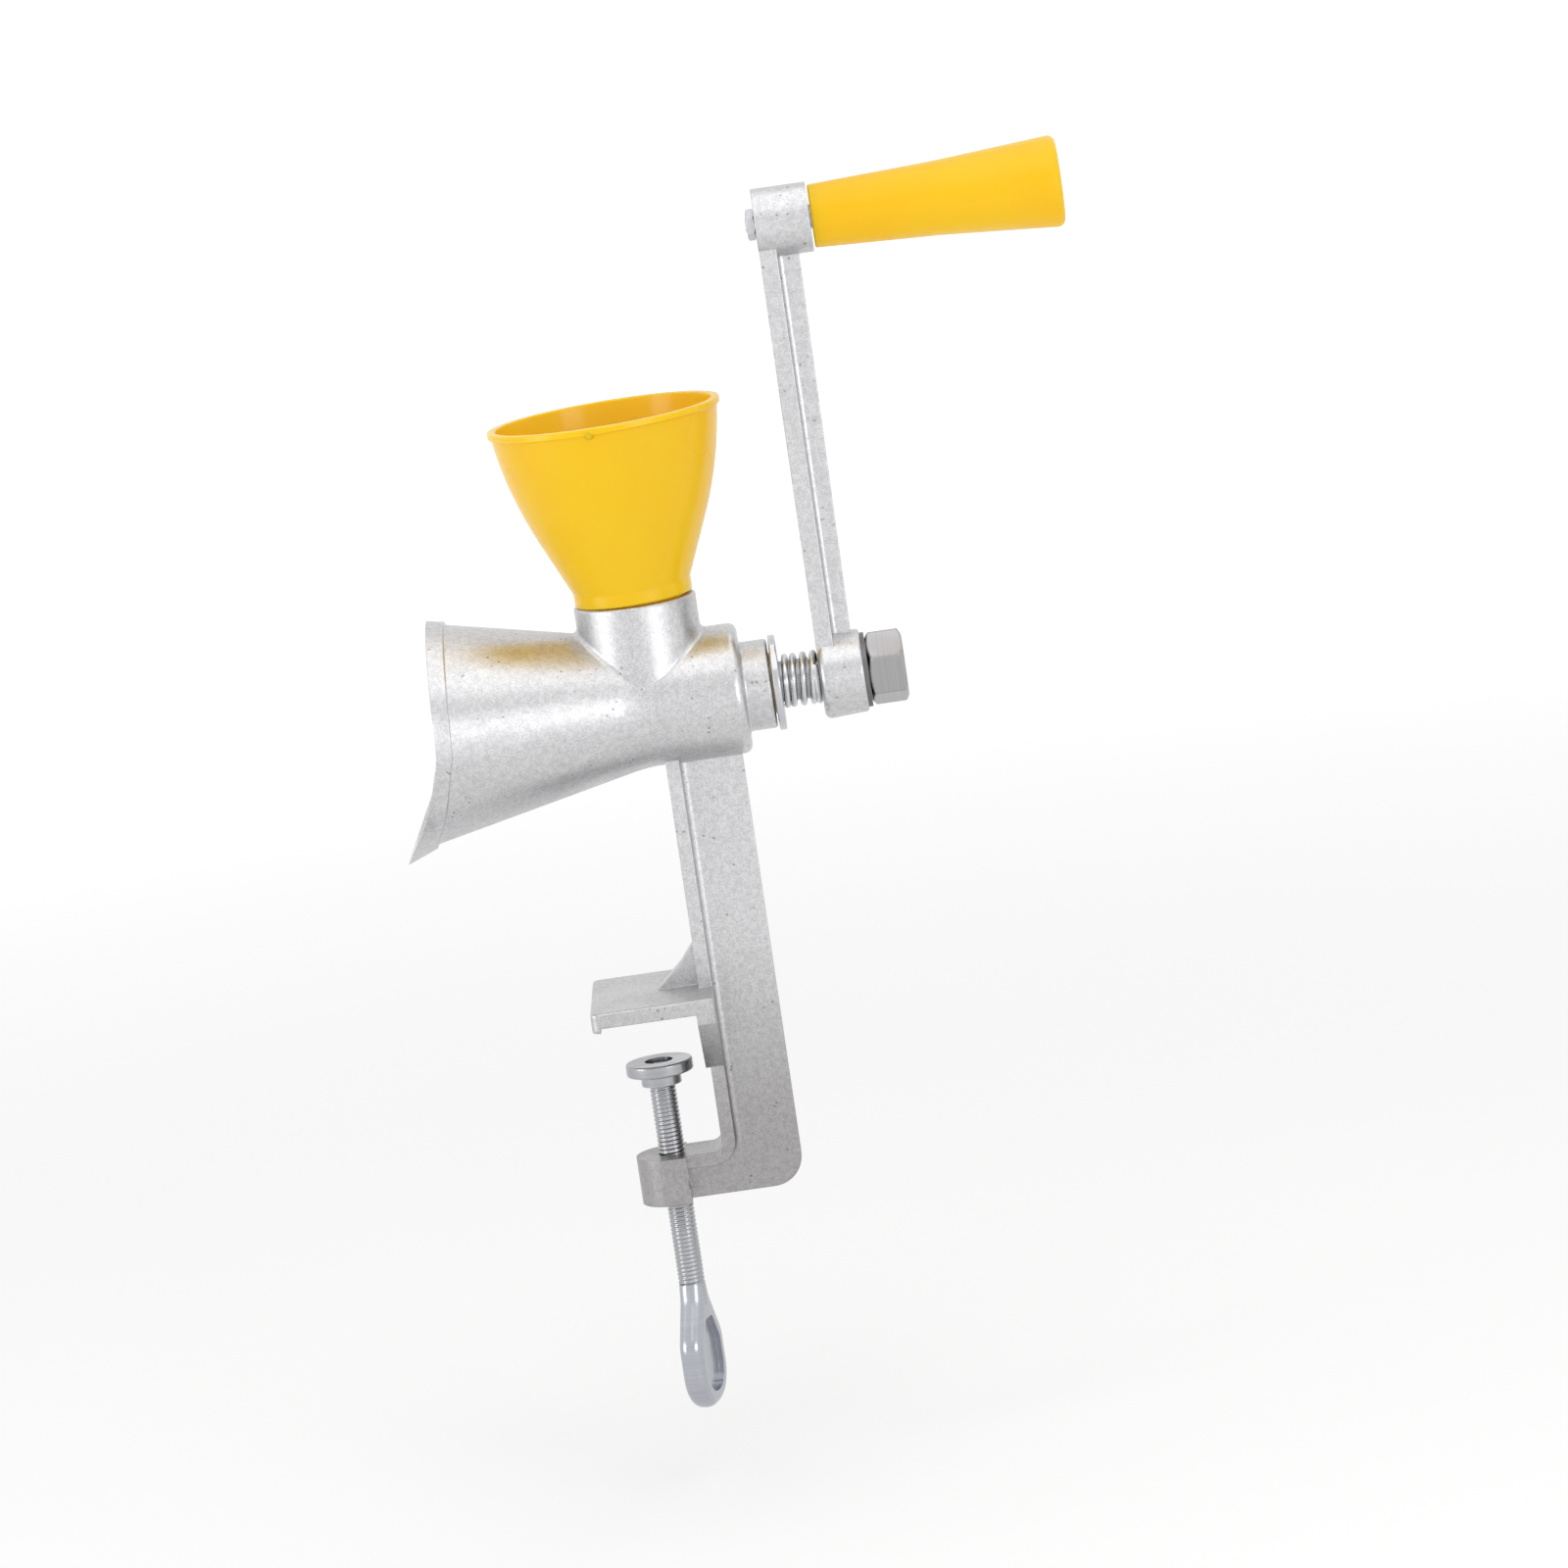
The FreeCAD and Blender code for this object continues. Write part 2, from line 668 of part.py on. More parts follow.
def make_hollow():
    """Everything that is bored or cored out of the casting."""
    body = new_body("casting_hollow")
    chamber = new_sketch(body, "chamber_profile", "XZ_Plane", raised=dim.axis_height)
    outline(chamber, [(dim.chamber_end_x, 0),
                      (dim.chamber_end_x, dim.chamber_radius, dim.casting_edge),
                      (dim.cone_start_x, dim.chamber_radius),
                      (-dim.ring_front_x, dim.ring_front_radius),
                      (-(dim.ring_front_x + dim.mouth_step), dim.mouth_inner_radius),
                      (-dim.cone_end_x, dim.mouth_inner_end),
                      (-dim.cone_end_x, 0)])
    revolve(body, "chamber", chamber)

    bore = new_sketch(body, "neck_bore_circle", "YZ_Plane", offset=dim.chamber_end_x - OVER,
                      raised=dim.axis_height)
    circle(bore, 0, 0, dim.neck_bore)
    pad(body, "neck_bore", bore, dim.neck_end_x - dim.chamber_end_x + 2 * OVER)

    throat = new_sketch(body, "throat_circle", "XY_Plane", offset=dim.axis_height)
    circle(throat, dim.hopper_x, 0, dim.throat_radius)
    pad(body, "throat", throat, dim.collar_height + OVER)

    seat = new_sketch(body, "funnel_seat_circle", "XY_Plane",
                      offset=dim.axis_height + dim.collar_height - dim.collar_seat_depth)
    circle(seat, dim.hopper_x, 0, dim.collar_bore)
    pad(body, "funnel_seat", seat, dim.collar_seat_depth + OVER)
    return body


def make_screw_hole():
    """The tapped hole through the lower jaw."""
    hole = doc.addObject("Part::Cylinder", "jaw_screw_hole")
    bind(hole, "Radius", dim.screw_hole)
    bind(hole, "Height", dim.jaw_depth + 2 * OVER)
    bind(hole, "Placement.Base.z", -(dim.jaw_gap + dim.jaw_depth + OVER))
    return hole


def make_mill_body():
    """The casting with its band, opened at the mouth and hollowed."""
    joined = doc.addObject("Part::Fuse", "casting_with_band")
    joined.Base = make_casting()
    joined.Tool = make_band()
    opened = doc.addObject("Part::Cut", "casting_opened")
    opened.Base = joined
    opened.Tool = make_mouth_cut()
    hollowed = doc.addObject("Part::Cut", "casting_hollowed")
    hollowed.Base = opened
    hollowed.Tool = make_hollow()
    finished = doc.addObject("Part::Cut", "mill_body")
    finished.Base = hollowed
    finished.Tool = make_screw_hole()
    return finished


# ---------------------------------------------------------------------------------------------
# The funnel
# ---------------------------------------------------------------------------------------------

def make_funnel():
    """The moulded funnel: a tulip with a bead round its rim and a spigot for the collar."""
    body = new_body("hopper_funnel")
    bind(body, "Placement.Base.x", dim.hopper_x)
    bind(body, "Placement.Base.z", dim.axis_height + dim.collar_height + dim.funnel_gap)
    body.Placement.Rotation = Rotation(Vector(0, -1, 0), 1)
    bind(body, "Placement.Rotation.Angle", dim.funnel_lean)
    wall = dim.funnel_wall
    bead_foot = dim.rim_height - dim.bead_height
    tilt = math.radians(sheet.swell_tilt)
    profile = new_sketch(body, "funnel_profile", "XZ_Plane")
    outline(profile, [(dim.spigot_tip_radius, -dim.spigot_depth),
                      (dim.spigot_radius, 0),
                      (dim.shoulder_radius, 0, dim.moulding_edge),
                      (dim.shoulder_radius, dim.shoulder_height, dim.shoulder_round),
                      (dim.swell_radius, dim.swell_height, dim.swell_curve),
                      (dim.rim_radius, bead_foot, dim.bead_round),
                      (dim.rim_radius + dim.bead_width, bead_foot, dim.bead_round),
                      (dim.rim_radius + dim.bead_width, dim.rim_height, dim.bead_round),
                      (dim.rim_radius - wall, dim.rim_height, dim.moulding_edge),
                      (dim.swell_radius - wall * math.cos(tilt),
                       dim.swell_height + wall * math.sin(tilt), dim.swell_curve - wall),
                      (dim.shoulder_radius - wall, dim.shoulder_height, dim.inner_shoulder_round),
                      (dim.spigot_tip_radius - wall, -dim.spigot_step),
                      (dim.spigot_tip_radius - wall, -dim.spigot_depth)])
    revolve(body, "funnel_shell", profile, axis="V_Axis")
    return body


# ---------------------------------------------------------------------------------------------
# The grinding parts
# ---------------------------------------------------------------------------------------------

def make_grinding_ring():
    """The toothed ring pressed into the cone: straight V-shaped grooves along its taper."""
    body = new_body("grinding_ring", dim.axis_height)
    profile = new_sketch(body, "ring_profile", "XZ_Plane")
    outline(profile, [(-dim.ring_rear_x, dim.ring_rear_tip),
                      (-dim.ring_rear_x, dim.ring_rear_radius),
                      (-(dim.ring_front_x - dim.ring_setback), dim.ring_front_outer),
                      (-(dim.ring_front_x - dim.ring_setback), dim.ring_front_tip)])
    revolve(body, "ring_blank", profile)
    taper = (dim.ring_front_tip - dim.ring_rear_tip) / (dim.ring_front_x - dim.ring_rear_x)
    loft_ends = []
    for end, station in (("rear", dim.ring_rear_x - OVER), ("front", dim.ring_front_x + OVER)):
        end_sketch = new_sketch(body, f"groove_{end}", "YZ_Plane", offset=-station)
        tip = dim.ring_rear_tip + taper * (station - dim.ring_rear_x)
        half = tip * dim.ring_groove_share
        outline(end_sketch, [(0, tip + dim.ring_tooth_depth),
                             (half, tip - OVER), (-half, tip - OVER)])
        loft_ends.append(end_sketch)
    groove = body.newObject("PartDesign::SubtractiveLoft", "ring_groove")
    groove.Profile = loft_ends[0]
    groove.Sections = [loft_ends[1]]
    groove.Ruled = True
    repeat(body, "ring_grooves", groove, dim.ring_teeth)
    return body


def toothed_section(station, radius, depth, teeth, turned):
    """One cross-section of the toothed cone: a slow face and a steep face for each tooth."""
    points = []
    for tooth in range(teeth):
        for share, height in ((0.0, radius), (sheet.burr_land_share, radius),
                              (sheet.burr_valley_share, radius - depth)):
            angle = math.radians(turned) + 2 * math.pi * (tooth + share) / teeth
            points.append(Vector(station, height * math.cos(angle), height * math.sin(angle)))
    return Part.makePolygon(points + points[:1])


def make_rotor_burr():
    """The toothed cone: saw teeth that wind round it, lofted through turned cross-sections."""
    teeth = int(sheet.burr_teeth)
    steps = 6
    sections = []
    for step in range(steps + 1):
        share = step / steps
        station = -sheet.burr_rear_x + share * (sheet.burr_rear_x - sheet.burr_front_x)
        radius = sheet.burr_rear_radius + share * (sheet.burr_front_radius - sheet.burr_rear_radius)
        sections.append(toothed_section(station, radius, sheet.burr_tooth_depth, teeth,
                                        share * sheet.burr_twist))
    cone = Part.makeLoft(sections, True, True)
    length = sheet.burr_front_x - sheet.burr_rear_x
    along = Vector(1, 0, 0)
    front = Vector(-sheet.burr_front_x, 0, 0)
    bore = Part.makeCylinder(sheet.burr_bore, length + 2 * OVER, front - along * OVER, along)
    dish = Part.makeCylinder(sheet.dish_outer, sheet.dish_depth, front, along)
    hub = Part.makeCylinder(sheet.dish_inner, sheet.dish_depth, front, along)
    burr = doc.addObject("Part::Feature", "rotor_burr")
    burr.Shape = cone.cut(dish.cut(hub)).cut(bore)
    burr.Placement = Placement(Vector(0, 0, sheet.axis_height), Rotation())
    return burr


def make_auger_shaft():
    """The steel shaft: burr journal, auger core with its flight, drive end with a square."""
    body = new_body("auger_shaft", dim.axis_height)
    front_x = -(dim.burr_front_x - dim.shaft_setback)
    profile = new_sketch(body, "shaft_profile", "XZ_Plane")
    outline(profile, [(front_x, dim.burr_thread),
                      (front_x, dim.journal_radius),
                      (-dim.burr_rear_x, dim.journal_radius),
                      (-dim.burr_rear_x, dim.core_radius),
                      (dim.core_end_x, dim.core_radius),
                      (dim.core_end_x, dim.drive_radius),
                      (dim.shaft_end_x - dim.shaft_chamfer, dim.drive_radius),
                      (dim.shaft_end_x, dim.drive_radius - dim.shaft_chamfer),
                      (dim.shaft_end_x, 0),
                      (front_x + dim.burr_screw_reach, 0),
                      (front_x + dim.burr_screw_reach, dim.burr_thread)])
    revolve(body, "shaft_rod", profile)

    flight = new_sketch(body, "flight_section", "XZ_Plane")
    lean = (dim.flight_root - dim.flight_crest) / 2
    start = -dim.flight_start_x
    outline(flight, [(start, dim.core_radius - dim.flight_sink),
                     (start + lean, dim.flight_radius),
                     (start + lean + dim.flight_crest, dim.flight_radius),
                     (start + dim.flight_root, dim.core_radius - dim.flight_sink)])
    coil = body.newObject("PartDesign::AdditiveHelix", "auger_flight")
    coil.Profile = flight
    coil.ReferenceAxis = (flight, ["H_Axis"])
    coil.Mode = "pitch-turns-angle"
    coil.LeftHanded = True
    bind(coil, "Pitch", dim.flight_pitch)
    bind(coil, "Turns", dim.flight_turns)

    square = new_sketch(body, "square_section", "YZ_Plane", offset=dim.square_start_x)
    half = dim.square_size / 2
    outside = dim.drive_radius + OVER
    outline(square, [(half, half), (-half, half), (-half, -half), (half, -half)])
    outline(square, [(outside, outside), (-outside, outside), (-outside, -outside),
                     (outside, -outside)])
    remove(body, "Pocket", "drive_square", square, dim.square_end_x - dim.square_start_x,
           reverse=True)
    return body


def ring_part(label, start_x, end_x, inner, outer, edge=None):
    """A plain ring on the barrel's axis, such as a washer or a bush."""
    body = new_body(label, dim.axis_height)
    profile = new_sketch(body, "ring_profile", "XZ_Plane")
    if edge is None:
        outer_corners = [(start_x, outer), (end_x, outer)]
    else:
        outer_corners = [(start_x, outer, edge), (end_x, outer, edge)]
    outline(profile, [(start_x, inner)] + outer_corners + [(end_x, inner)])
    revolve(body, "ring", profile)
    return body


def make_rotor_screw():
    """The hexagon screw that holds the toothed cone on the shaft."""
    body = new_body("rotor_screw", dim.axis_height)
    seat_x = -(dim.burr_front_x + dim.burr_washer_thickness)
    shank = new_sketch(body, "shank_circle", "YZ_Plane", offset=seat_x)
    circle(shank, 0, 0, dim.burr_screw_radius)
    pad(body, "shank", shank, dim.burr_screw_reach)
    head = new_sketch(body, "head_hexagon", "YZ_Plane", offset=seat_x - dim.burr_head_height)
    hexagon(head, dim.burr_head_flats)
    pad(body, "head", head, dim.burr_head_height)
    return body


# ---------------------------------------------------------------------------------------------
# The spring
# ---------------------------------------------------------------------------------------------

def make_spring():
    """The pressure spring: a closed turn at each end and open turns between, cut flat to sit."""
    start = sheet.spring_start_x
    end = sheet.spring_end_x
    wire = sheet.spring_wire
    closed_turns = 1.0
    open_turns = 1.8
    closed_rise = wire * 1.02
    seat_rise = wire * 0.45
    open_rise = (end - start - 2 * seat_rise - 2 * closed_turns * closed_rise) / open_turns
    turns = 2 * closed_turns + open_turns
    steps_per_turn = 16
    steps = int(turns * steps_per_turn)
    points = []
    for step in range(steps + 1):
        turn = turns * step / steps
        opened = min(max(turn - closed_turns, 0.0), open_turns)
        rise = (turn - opened) * closed_rise + opened * open_rise
        angle = 2 * math.pi * turn
        points.append(Vector(start + seat_rise + rise,
                             sheet.spring_radius * math.cos(angle),
                             sheet.spring_radius * math.sin(angle)))
    line = Part.BSplineCurve()
    line.interpolate(points)
    path = Part.Wire(line.toShape())
    section = Part.Wire(Part.makeCircle(wire / 2, points[0], line.tangent(line.FirstParameter)[0]))
    coil = path.makePipeShell([section], True, True)
    seats = Part.makeCylinder(sheet.thrust_radius, end - start, Vector(start, 0, 0), Vector(1, 0, 0))
    spring = doc.addObject("Part::Feature", "tension_spring")
    spring.Shape = coil.common(seats)
    spring.Placement = Placement(Vector(0, 0, sheet.axis_height), Rotation())
    return spring


# ---------------------------------------------------------------------------------------------
# The crank
# ---------------------------------------------------------------------------------------------

def make_crank_arm():
    """The cast crank: hub and eye joined by an arm of T-section, flush on the mill's side."""
    body = new_body("crank_arm", dim.axis_height)
    hub_end = dim.crank_x + dim.hub_length
    hub = new_sketch(body, "hub_profile", "XZ_Plane")
    outline(hub, [(dim.crank_x, 0),
                  (dim.crank_x, dim.hub_radius, dim.hub_round),
                  (hub_end, dim.hub_end_radius, dim.casting_edge),
                  (hub_end, 0)])
    revolve(body, "hub", hub)

    eye = new_sketch(body, "eye_circle", "YZ_Plane", offset=dim.crank_x)
    circle(eye, 0, dim.crank_throw, dim.eye_radius)
    pad(body, "eye", eye, dim.eye_length)

    arm = new_sketch(body, "arm_outline", "YZ_Plane", offset=dim.crank_x)
    outline(arm, [(dim.arm_foot_width / 2, dim.arm_foot_height),
                  (dim.arm_head_width / 2, dim.crank_throw),
                  (-dim.arm_head_width / 2, dim.crank_throw),
                  (-dim.arm_foot_width / 2, dim.arm_foot_height)])
    pad(body, "arm_flange", arm, dim.arm_flange)

    rib = new_sketch(body, "rib_profile", "XZ_Plane")
    outline(rib, [(dim.crank_x + OVER, dim.rib_foot_height),
                  (dim.crank_x + dim.arm_depth_foot, dim.rib_foot_height),
                  (dim.crank_x + dim.arm_depth_head, dim.crank_throw - dim.rib_head_gap),
                  (dim.crank_x + OVER, dim.crank_throw - dim.rib_head_gap)])
    pad(body, "arm_rib", rib, dim.arm_rib, centred=True)

    inner_x = dim.crank_x + dim.arm_flange
    half_rib = dim.arm_rib / 2
    for side in (-1, 1):
        round_edges(body, f"rib_fillet_{'near' if side < 0 else 'far'}", dim.arm_fillet,
                    ((inner_x - 0.05, side * half_rib - 0.05, dim.rib_foot_height),
                     (inner_x + 0.05, side * half_rib + 0.05, None)))

    square = new_sketch(body, "square_section", "YZ_Plane", offset=dim.crank_x - OVER)
    half = dim.square_hole / 2
    outline(square, [(half, half), (-half, half), (-half, -half), (half, -half)])
    remove(body, "Pocket", "square_hole", square, dim.hub_length + 2 * OVER, reverse=True)

    bolt = new_sketch(body, "bolt_circle", "YZ_Plane", offset=dim.crank_x - OVER)
    circle(bolt, 0, dim.crank_throw, dim.bolt_hole)
    remove(body, "Pocket", "bolt_hole", bolt, dim.eye_length + 2 * OVER, reverse=True)
    return body


def make_nut(label, start_x, end_x, flats, bore, face_radius, height):
    """A hexagon nut along X with both faces chamfered."""
    body = new_body(label, height)
    hex_sketch = new_sketch(body, "hexagon_outline", "YZ_Plane", offset=start_x)
    hexagon(hex_sketch, flats)
    circle(hex_sketch, 0, 0, bore)
    pad(body, "hexagon_block", hex_sketch, end_x - start_x)
    outside = flats / math.sqrt(3) + OVER
    depth = (outside - face_radius) * NUT_CHAMFER
    chamfer = new_sketch(body, "chamfer_profile", "XZ_Plane")
    outline(chamfer, [(start_x, face_radius), (start_x - OVER, outside), (start_x + depth, outside)])
    outline(chamfer, [(end_x, face_radius), (end_x + OVER, outside), (end_x - depth, outside)])
    remove(body, "Groove", "chamfers", chamfer)
    return body


# ---------------------------------------------------------------------------------------------
# The grip
# ---------------------------------------------------------------------------------------------

def make_grip():
    """The tapered grip, bored for the bolt and recessed at its end for the bolt's head."""
    body = new_body("grip", dim.axis_height + dim.crank_throw)
    profile = new_sketch(body, "grip_profile", "XZ_Plane")
    outline(profile, [(dim.grip_start_x, dim.grip_bore),
                      (dim.grip_start_x, dim.grip_small_radius, dim.grip_small_round),
                      (dim.grip_waist_x, dim.grip_waist_radius, dim.grip_curve),
                      (dim.grip_end_x, dim.grip_large_radius, dim.grip_round),
                      (dim.grip_end_x, dim.recess_radius, dim.recess_round),
                      (dim.recess_floor_x, dim.recess_radius),
                      (dim.recess_floor_x, dim.grip_bore)])
    revolve(body, "grip_form", profile)
    return body


def make_grip_bolt():
    """The shouldered bolt: threaded in the crank's eye, its slotted head in the grip's end."""
    body = new_body("grip_bolt", dim.axis_height + dim.crank_throw)
    shoulder_x = dim.crank_x + dim.eye_length + dim.bolt_seat_gap
    head_x = dim.bolt_washer_x + dim.bolt_washer_thickness
    profile = new_sketch(body, "bolt_profile", "XZ_Plane")
    outline(profile, [(dim.bolt_tip_x, 0),
                      (dim.bolt_tip_x, dim.bolt_thread - dim.bolt_chamfer),
                      (dim.bolt_tip_x + dim.bolt_chamfer, dim.bolt_thread),
                      (shoulder_x, dim.bolt_thread),
                      (shoulder_x, dim.bolt_shank),
                      (head_x, dim.bolt_shank),
                      (head_x, dim.bolt_head_radius),
                      (head_x + dim.bolt_head_height, dim.bolt_head_radius, dim.bolt_head_round),
                      (head_x + dim.bolt_head_height, 0)])
    revolve(body, "bolt_form", profile)
    slot = new_sketch(body, "slot_outline", "YZ_Plane", offset=head_x + dim.bolt_head_height)
    across = dim.bolt_head_radius + OVER
    half = dim.slot_width / 2
    outline(slot, [(half, across), (-half, across), (-half, -across), (half, -across)])
    remove(body, "Pocket", "slot", slot, dim.slot_depth)
    return body


def make_grip_washer():
    """The washer under the bolt's head."""
    body = new_body("grip_washer", dim.axis_height + dim.crank_throw)
    disc = new_sketch(body, "washer_circles", "YZ_Plane", offset=dim.bolt_washer_x)
    circle(disc, 0, 0, dim.bolt_washer_radius)
    circle(disc, 0, 0, dim.grip_bore)
    pad(body, "washer", disc, dim.bolt_washer_thickness)
    return body


# ---------------------------------------------------------------------------------------------
# The clamp
# ---------------------------------------------------------------------------------------------

def make_clamp_screw():
    """The clamp screw, with the pin on its top that is riveted over in the pad."""
    body = new_body("clamp_screw")
    profile = new_sketch(body, "screw_profile", "XZ_Plane")
    outline(profile, [(0, -dim.screw_foot),
                      (dim.screw_radius, -dim.screw_foot),
                      (dim.screw_radius, -dim.screw_top),
                      (dim.neck_pin_radius, -dim.screw_top),
                      (dim.neck_pin_radius, -dim.rivet_underside),
                      (dim.rivet_radius, -dim.rivet_underside),
                      (dim.rivet_radius, -dim.rivet_top, dim.rivet_round),
                      (0, -dim.rivet_top)])
    revolve(body, "screw_rod", profile, axis="V_Axis")
    return body


def make_clamp_pad():
    """The swivel pad: a dished disc on a short hub, open round the riveted pin."""
    body = new_body("clamp_pad")
    profile = new_sketch(body, "pad_profile", "XZ_Plane")
    outline(profile, [(dim.pad_bore, -dim.pad_foot),
                      (dim.pad_hub_radius, -dim.pad_foot),
                      (dim.pad_hub_radius, -dim.pad_rim, dim.pad_hub_round),
                      (dim.pad_radius, -dim.pad_rim, dim.pad_round),
                      (dim.pad_radius, -dim.pad_top, dim.pad_round),
                      (dim.pad_recess_radius, -dim.pad_top),
                      (dim.pad_recess_radius, -dim.pad_recess_floor),
                      (dim.pad_bore, -dim.pad_recess_floor)])
    revolve(body, "pad_form", profile, axis="V_Axis")
    return body


def make_clamp_wing():
    """The wing cast on the screw's foot: a teardrop paddle with a thick rim and hollow cheeks."""
    body = new_body("clamp_wing")
    body.Placement.Rotation = Rotation(Vector(0, 0, 1), 1)
    bind(body, "Placement.Rotation.Angle", dim.wing_turned)
    half = dim.wing_half_width
    waist = dim.wing_neck + dim.wing_flare
    waist_z = -(dim.wing_top + dim.wing_flare_drop)
    wide_z = -(dim.wing_top + dim.wing_wide_drop)
    foot_z = -dim.wing_foot
    foot_round = half * dim.wing_round_share
    paddle = new_sketch(body, "paddle_outline", "YZ_Plane")
    outline(paddle, [(dim.wing_neck, -dim.wing_top),
                     (waist, waist_z, dim.wing_curve),
                     (half, wide_z, dim.wing_curve),
                     (half, foot_z, foot_round),
                     (-half, foot_z, foot_round),
                     (-half, wide_z, dim.wing_curve),
                     (-waist, waist_z, dim.wing_curve),
                     (-dim.wing_neck, -dim.wing_top)])
    pad(body, "paddle", paddle, dim.wing_thickness, centred=True)
    half_thick = dim.wing_thickness / 2
    rounded_top = -dim.wing_top - OVER / 2
    round_edges(body, "rim_rounding", dim.wing_rounding,
                ((half_thick - 0.05, None, None), (half_thick + 0.05, None, rounded_top)),
                ((-half_thick - 0.05, None, None), (-half_thick + 0.05, None, rounded_top)))

    cheek_half = half - dim.wing_rim
    cheek_foot = foot_z + dim.wing_rim
    cheek_round = cheek_half * dim.wing_round_share
    for side, offset, reverse in (("front", half_thick, False), ("back", -half_thick, True)):
        cheek = new_sketch(body, f"cheek_{side}", "YZ_Plane", offset=offset)
        outline(cheek, [(dim.recess_top_half, -dim.recess_top, dim.recess_top_round),
                        (cheek_half, -dim.recess_wide, dim.recess_top_round),
                        (cheek_half, cheek_foot, cheek_round),
                        (-cheek_half, cheek_foot, cheek_round),
                        (-cheek_half, -dim.recess_wide, dim.recess_top_round),
                        (-dim.recess_top_half, -dim.recess_top, dim.recess_top_round)])
        remove(body, "Pocket", f"cheek_recess_{side}", cheek, dim.wing_recess, reverse=reverse)
    return body


# ---------------------------------------------------------------------------------------------
# Assembly
# ---------------------------------------------------------------------------------------------

def make_parts():
    """Every sub-part of the grinder, in the order in which it goes together."""
    washer_x = dim.crank_x + dim.hub_length
    grip_height = dim.axis_height + dim.crank_throw
    burr_face = -dim.burr_front_x
    parts = [
        make_mill_body(),
        make_funnel(),
        make_grinding_ring(),
        make_rotor_burr(),
        make_auger_shaft(),
        ring_part("rotor_washer", burr_face - dim.burr_washer_thickness, burr_face,
                  dim.burr_thread, dim.burr_washer_radius),
        make_rotor_screw(),
        ring_part("rear_bush", dim.bush_start_x, dim.bush_end_x,
                  dim.bush_inner, dim.neck_bore),
        ring_part("thrust_washer", dim.bush_end_x, dim.thrust_end_x,
                  dim.thrust_inner, dim.thrust_radius, edge=dim.thrust_round),
        make_spring(),
        make_crank_arm(),
        ring_part("crank_washer", washer_x, washer_x + dim.crank_washer_thickness,
                  dim.crank_washer_bore, dim.crank_washer_radius),
        make_nut("crank_nut", dim.nut_start_x, dim.nut_end_x, dim.nut_flats, dim.nut_bore,
                 dim.nut_face_radius, dim.axis_height),
        make_grip(),
        make_grip_bolt(),
        make_grip_washer(),
        make_nut("grip_lock_nut", dim.crank_x - dim.lock_nut_height, dim.crank_x,
                 dim.lock_nut_flats, dim.lock_nut_bore, dim.lock_nut_face_radius,
                 grip_height),
        make_clamp_screw(),
        make_clamp_pad(),
        make_clamp_wing(),
    ]
    nut = doc.getObject("crank_nut")
    nut.Placement.Rotation = Rotation(Vector(1, 0, 0), 1)
    bind(nut, "Placement.Rotation.Angle", dim.nut_turned)
    return parts


def check_and_write(parts):
    """Stop on any failed object or shape, then write one STEP file for each sub-part."""
    doc.recompute()
    failed = [item.Label for item in doc.Objects
              if "Invalid" in item.State or "Error" in item.State]
    broken = [part.Label for part in parts if part.Shape.isNull() or not part.Shape.isValid()]
    if failed or broken:
        raise RuntimeError(f"failed objects {failed}, broken shapes {broken}")
    os.makedirs("parts", exist_ok=True)
    for part in parts:
        part.Shape.exportStep(f"parts/{part.Label}.step")
        box = part.Shape.BoundBox
        print(f"{part.Label:16s} solids {len(part.Shape.Solids)}  volume {part.Shape.Volume:10.1f}"
              f"  x {box.XMin:7.1f} {box.XMax:7.1f}  y {box.YMin:6.1f} {box.YMax:6.1f}"
              f"  z {box.ZMin:7.1f} {box.ZMax:7.1f}")


check_and_write(make_parts())
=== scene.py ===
"""Looks of the hand crank peanut grinder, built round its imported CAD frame, in metres."""

import logging
import math
from dataclasses import dataclass, field
from enum import Enum

import bpy
from mathutils import Matrix, Vector


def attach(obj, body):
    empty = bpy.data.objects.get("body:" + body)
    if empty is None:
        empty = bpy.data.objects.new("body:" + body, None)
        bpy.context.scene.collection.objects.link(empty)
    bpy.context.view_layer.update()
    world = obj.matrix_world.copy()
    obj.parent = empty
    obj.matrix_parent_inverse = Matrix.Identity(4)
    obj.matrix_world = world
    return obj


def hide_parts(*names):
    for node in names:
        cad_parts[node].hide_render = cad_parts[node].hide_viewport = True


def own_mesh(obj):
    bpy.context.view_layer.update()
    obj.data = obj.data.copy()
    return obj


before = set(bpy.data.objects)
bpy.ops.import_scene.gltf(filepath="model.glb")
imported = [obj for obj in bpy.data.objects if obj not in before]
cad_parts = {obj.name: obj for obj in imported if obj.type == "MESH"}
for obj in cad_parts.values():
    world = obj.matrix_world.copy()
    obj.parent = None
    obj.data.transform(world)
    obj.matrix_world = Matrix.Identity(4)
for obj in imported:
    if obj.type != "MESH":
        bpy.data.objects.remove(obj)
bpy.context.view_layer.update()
MM = 0.001
MERGE = 0.001 * MM
LOG = logging.getLogger("grinder")

Socket = bpy.types.NodeSocket
Node = bpy.types.Node


# ---------------------------------------------------------------------------------------------
# Shader helpers and the shared effects
# ---------------------------------------------------------------------------------------------

